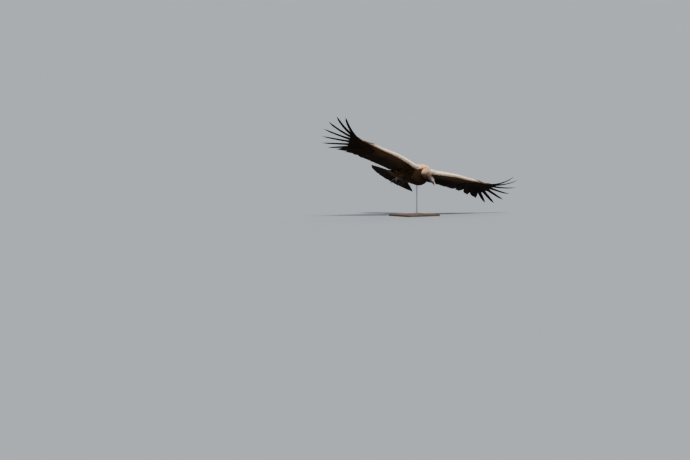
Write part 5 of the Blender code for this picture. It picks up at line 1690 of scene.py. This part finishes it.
def down_surface():
    s = Surface("ruff_down", 0.95, specular_ior_level=0.05, sheen_weight=0.12, sheen_roughness=0.6)
    vane = s.map("vane")
    strands = s.noise(s.stretch(vane, (60.0, 4.0, 1.0)), 2.0, 4.0)
    colour = s.shade(s.colour("plume"), strands, (0.3, 0.7), (0.0, 0.30), (0.68, 0.56, 0.44))
    # painted shade: darker towards each wisp's root, inside the mass of down
    colour = s.shade(colour, s.value("along"), (0.0, 0.45), (0.35, 0.0), (0.56, 0.42, 0.30))
    s.bump(strands, 0.5, 0.0008)
    return s.paint(colour)


def bristle_surface():
    s = Surface("head_down", 0.8, specular_ior_level=0.2)
    tone = s.noise(s.map("vane"), 12.0)
    return s.paint(s.shade(s.colour("plume"), tone, (0.3, 0.7), (0.0, 0.6), (0.55, 0.5, 0.48)))


def body_skin_surface():
    s = Surface("body_skin", 0.90, specular_ior_level=0.1)
    tone = s.noise(s.place(), 60.0, 5.0)
    colour = s.shade(s.colour("plume"), tone, (0.3, 0.7), (0.0, 0.7), (0.50, 0.46, 0.43))
    s.bump(s.noise(s.place(), 240.0, 4.0), 0.5, 0.002)
    return s.paint(colour)


def bare_skin_surface():
    s = Surface("bare_skin", 0.55, specular_ior_level=0.28, subsurface_weight=0.05, subsurface_scale=0.003)
    place = s.place()
    pores = s.cells(place, 1300.0)
    mottle = s.noise(place, 120.0, 5.0)
    colour = s.shade(s.colour("plume"), mottle, (0.38, 0.66), (0.0, 0.65), (0.42, 0.36, 0.34))
    colour = s.shade(colour, pores, (0.0, 0.06), (0.22, 0.0), (0.34, 0.27, 0.24))
    grain = s.math("MULTIPLY", s.noise(place, 420.0, 4.0), 1.6)
    s.bump(s.math("ADD", s.span(pores, 0.0, 0.12, 0.0, 0.5), grain), 0.45, 0.0004)
    s.polish(mottle, (0.3, 0.7), (0.48, 0.68))
    return s.paint(colour)


def scale_surface():
    s = Surface("foot_scales", 0.65, specular_ior_level=0.2)
    place = s.place()
    scales = s.cells(place, 520.0)
    dust = s.noise(place, 90.0, 5.0)
    colour = s.shade(s.colour("plume"), scales, (0.0, 0.10), (0.75, 0.0), (0.22, 0.17, 0.14))
    colour = s.shade(colour, dust, (0.40, 0.68), (0.0, 0.6), (0.60, 0.54, 0.48))
    s.bump(s.span(scales, 0.0, 0.14), 0.6, 0.0005)
    return s.paint(colour)


def horn_surface(name, base, tip, low, high, roughness):
    """Horn that changes colour from base to tip, with growth marks and a dull polish, and on the bill a
    painted highlight along the upper half's ridge.
    """
    s = Surface(name, roughness, specular_ior_level=0.35)
    growth = s.noise(s.stretch(s.place(), (1.0, 1.0, 3.0)), 130.0, 5.0)
    colour = s.ramp(s.value("along"), ((low, base), (high, tip)))
    if name == "bill_horn":
        grain = s.node("ShaderNodeCombineXYZ", {"X": s.value("along"), "Y": s.value("ridge")})
        streaks = s.noise(s.stretch(grain.outputs["Vector"], (2.5, 14.0, 1.0)), 1.0, 4.0)
        # painted highlight: a pale line along the ridge of the upper bill
        ridge = s.math("MULTIPLY", s.span(s.value("ridge"), 0.72, 0.96), s.span(s.value("along"), 0.0, 0.20))
        colour = s.mix(ridge, colour, PAINTED_RIDGE_HIGHLIGHT)
        colour = s.shade(colour, streaks, (0.38, 0.66), (0.0, 0.55), (0.48, 0.41, 0.35))
        growth = s.math("ADD", growth, s.math("MULTIPLY", streaks, 0.8))
    colour = s.shade(colour, growth, (0.40, 0.90), (0.0, 0.50), (0.52, 0.46, 0.40))
    s.bump(growth, 0.30, 0.0003)
    s.polish(growth, (0.3, 1.1), (roughness - 0.06, roughness + 0.12))
    return s.paint(colour)


def eye_surface():
    s = Surface("eye", 0.25, specular_ior_level=0.3, coat_weight=0.6, coat_roughness=0.03)
    polar = s.value("polar")
    rays = s.noise(s.place(), 900.0, 3.0)
    iris = s.mix(rays, (0.022, 0.009, 0.004), (0.070, 0.028, 0.011))
    colour = s.mix(s.span(polar, 0.42, 0.46), (0.003, 0.003, 0.003), iris)
    colour = s.mix(s.span(polar, 0.70, 0.80), colour, (0.010, 0.007, 0.006))
    return s.paint(colour)


def wood_surface():
    s = Surface("stand_wood", 0.55, specular_ior_level=0.25)
    place = s.place()
    long = s.stretch(place, (1.2, 14.0, 14.0))
    rings = s.bands(long, 1.6, 5.0)
    pores = s.noise(s.stretch(place, (9.0, 260.0, 260.0)), 2.0, 4.0)
    colour = s.mix(rings, (0.040, 0.021, 0.012), (0.092, 0.048, 0.026))
    colour = s.mix(s.span(pores, 0.52, 0.62, 0.0, 0.7), colour, (0.010, 0.007, 0.005))
    s.bump(s.math("ADD", rings, s.math("MULTIPLY", pores, 0.7)), 0.15, 0.0006)
    s.polish(pores, (0.3, 0.7), (0.50, 0.66))
    return s.paint(colour)


def steel_surface():
    s = Surface("stand_steel", 0.30, metallic=1.0)
    brushed = s.noise(s.stretch(s.place(), (700.0, 700.0, 6.0)), 1.0, 3.0)
    s.bump(brushed, 0.12, 0.0003)
    s.polish(brushed, (0.3, 0.7), (0.24, 0.40))
    return s.paint(s.mix(brushed, (0.36, 0.36, 0.37), (0.52, 0.52, 0.53)))


def floor_surface():
    s = Surface("floor", 0.85)
    tone = s.noise(s.place(), 0.6, 3.0)
    return s.paint(s.mix(tone, (0.162, 0.175, 0.189), (0.170, 0.184, 0.197)))


# Stage


def stage():
    """A wide pale floor, an even pale surround, a soft key light and a weak fill light."""
    bpy.ops.mesh.primitive_grid_add(x_subdivisions=8, y_subdivisions=8, size=FLOOR_SIZE, location=(0, 0, 0))
    floor = bpy.context.object
    floor.name = "floor"
    floor.data.materials.append(floor_surface())
    world = bpy.data.worlds.new("surround")
    bpy.context.scene.world = world
    world.use_nodes = True
    background = world.node_tree.nodes["Background"]
    background.inputs["Color"].default_value = SURROUND
    background.inputs["Strength"].default_value = 1.0
    for name, azimuth, height, strength, width in LIGHTS:
        light = bpy.data.lights.new(name, "SUN")
        light.energy = strength
        light.angle = math.radians(width)
        lamp = placed(name, light)
        towards = heading(math.radians(azimuth), math.radians(height), -1)
        lamp.rotation_euler = towards.to_track_quat("Z", "Y").to_euler()


def camera():
    """The photo's viewing angle, with the shoulders at their place in its frame."""
    right = Vector((math.cos(AZIMUTH), math.sin(AZIMUTH), 0))
    back = heading(AZIMUTH, ELEVATION, -1)
    up = back.cross(right)
    aside = (FRAME_CENTRE[0] - SHOULDER_PIXEL[0]) * METRES_PER_PIXEL
    lower = (FRAME_CENTRE[1] - SHOULDER_PIXEL[1]) * METRES_PER_PIXEL
    target = SHOULDERS + right * aside - up * lower
    data = bpy.data.cameras.new("camera")
    data.sensor_width = SENSOR_WIDTH
    data.lens = SENSOR_WIDTH * DISTANCE / (FRAME_WIDTH * METRES_PER_PIXEL)
    data.clip_end = VIEW_END
    eye = placed("camera", data)
    eye.location = target + back * DISTANCE
    eye.rotation_euler = back.to_track_quat("Z", "Y").to_euler()
    bpy.context.scene.camera = eye


def dress():
    """Builds every visible piece over the frame."""
    flight, wing, body = (feather_surface(*row) for row in FEATHER_SURFACES)
    for side, word in SIDES:
        dice = np.random.default_rng(5 + side)
        flight_feathers(side, word, flight, dice)
        great_coverts(side, word, wing, dice)
        lesser_coverts(side, word, wing, dice)
    dice = np.random.default_rng(17)
    tail_feathers(flight, wing, dice)
    points, normals, faces = body_mesh()
    tree = BVHTree.FromPolygons([Vector(p) for p in points], faces)
    skin(points, normals, faces, (body_skin_surface(), bare_skin_surface(), scale_surface()))
    body_feathers(points, normals, tree, body, dice)
    scapulars(wing, dice)
    ruff_down(down_surface(), dice)
    head_bristles(bristle_surface(), dice)
    bill(horn_surface("bill_horn", (0.020, 0.015, 0.012), (0.082, 0.066, 0.053), 0.25, 1.0, 0.42))
    eyes(eye_surface())
    claws(horn_surface("claw_horn", (0.050, 0.042, 0.038), (0.022, 0.019, 0.018), 0.0, 1.0, 0.38))
    for node, material in (("stand_base", wood_surface()), ("stand_rod", steel_surface())):
        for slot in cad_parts[node].material_slots:
            slot.material = material


dress()
stage()
camera()
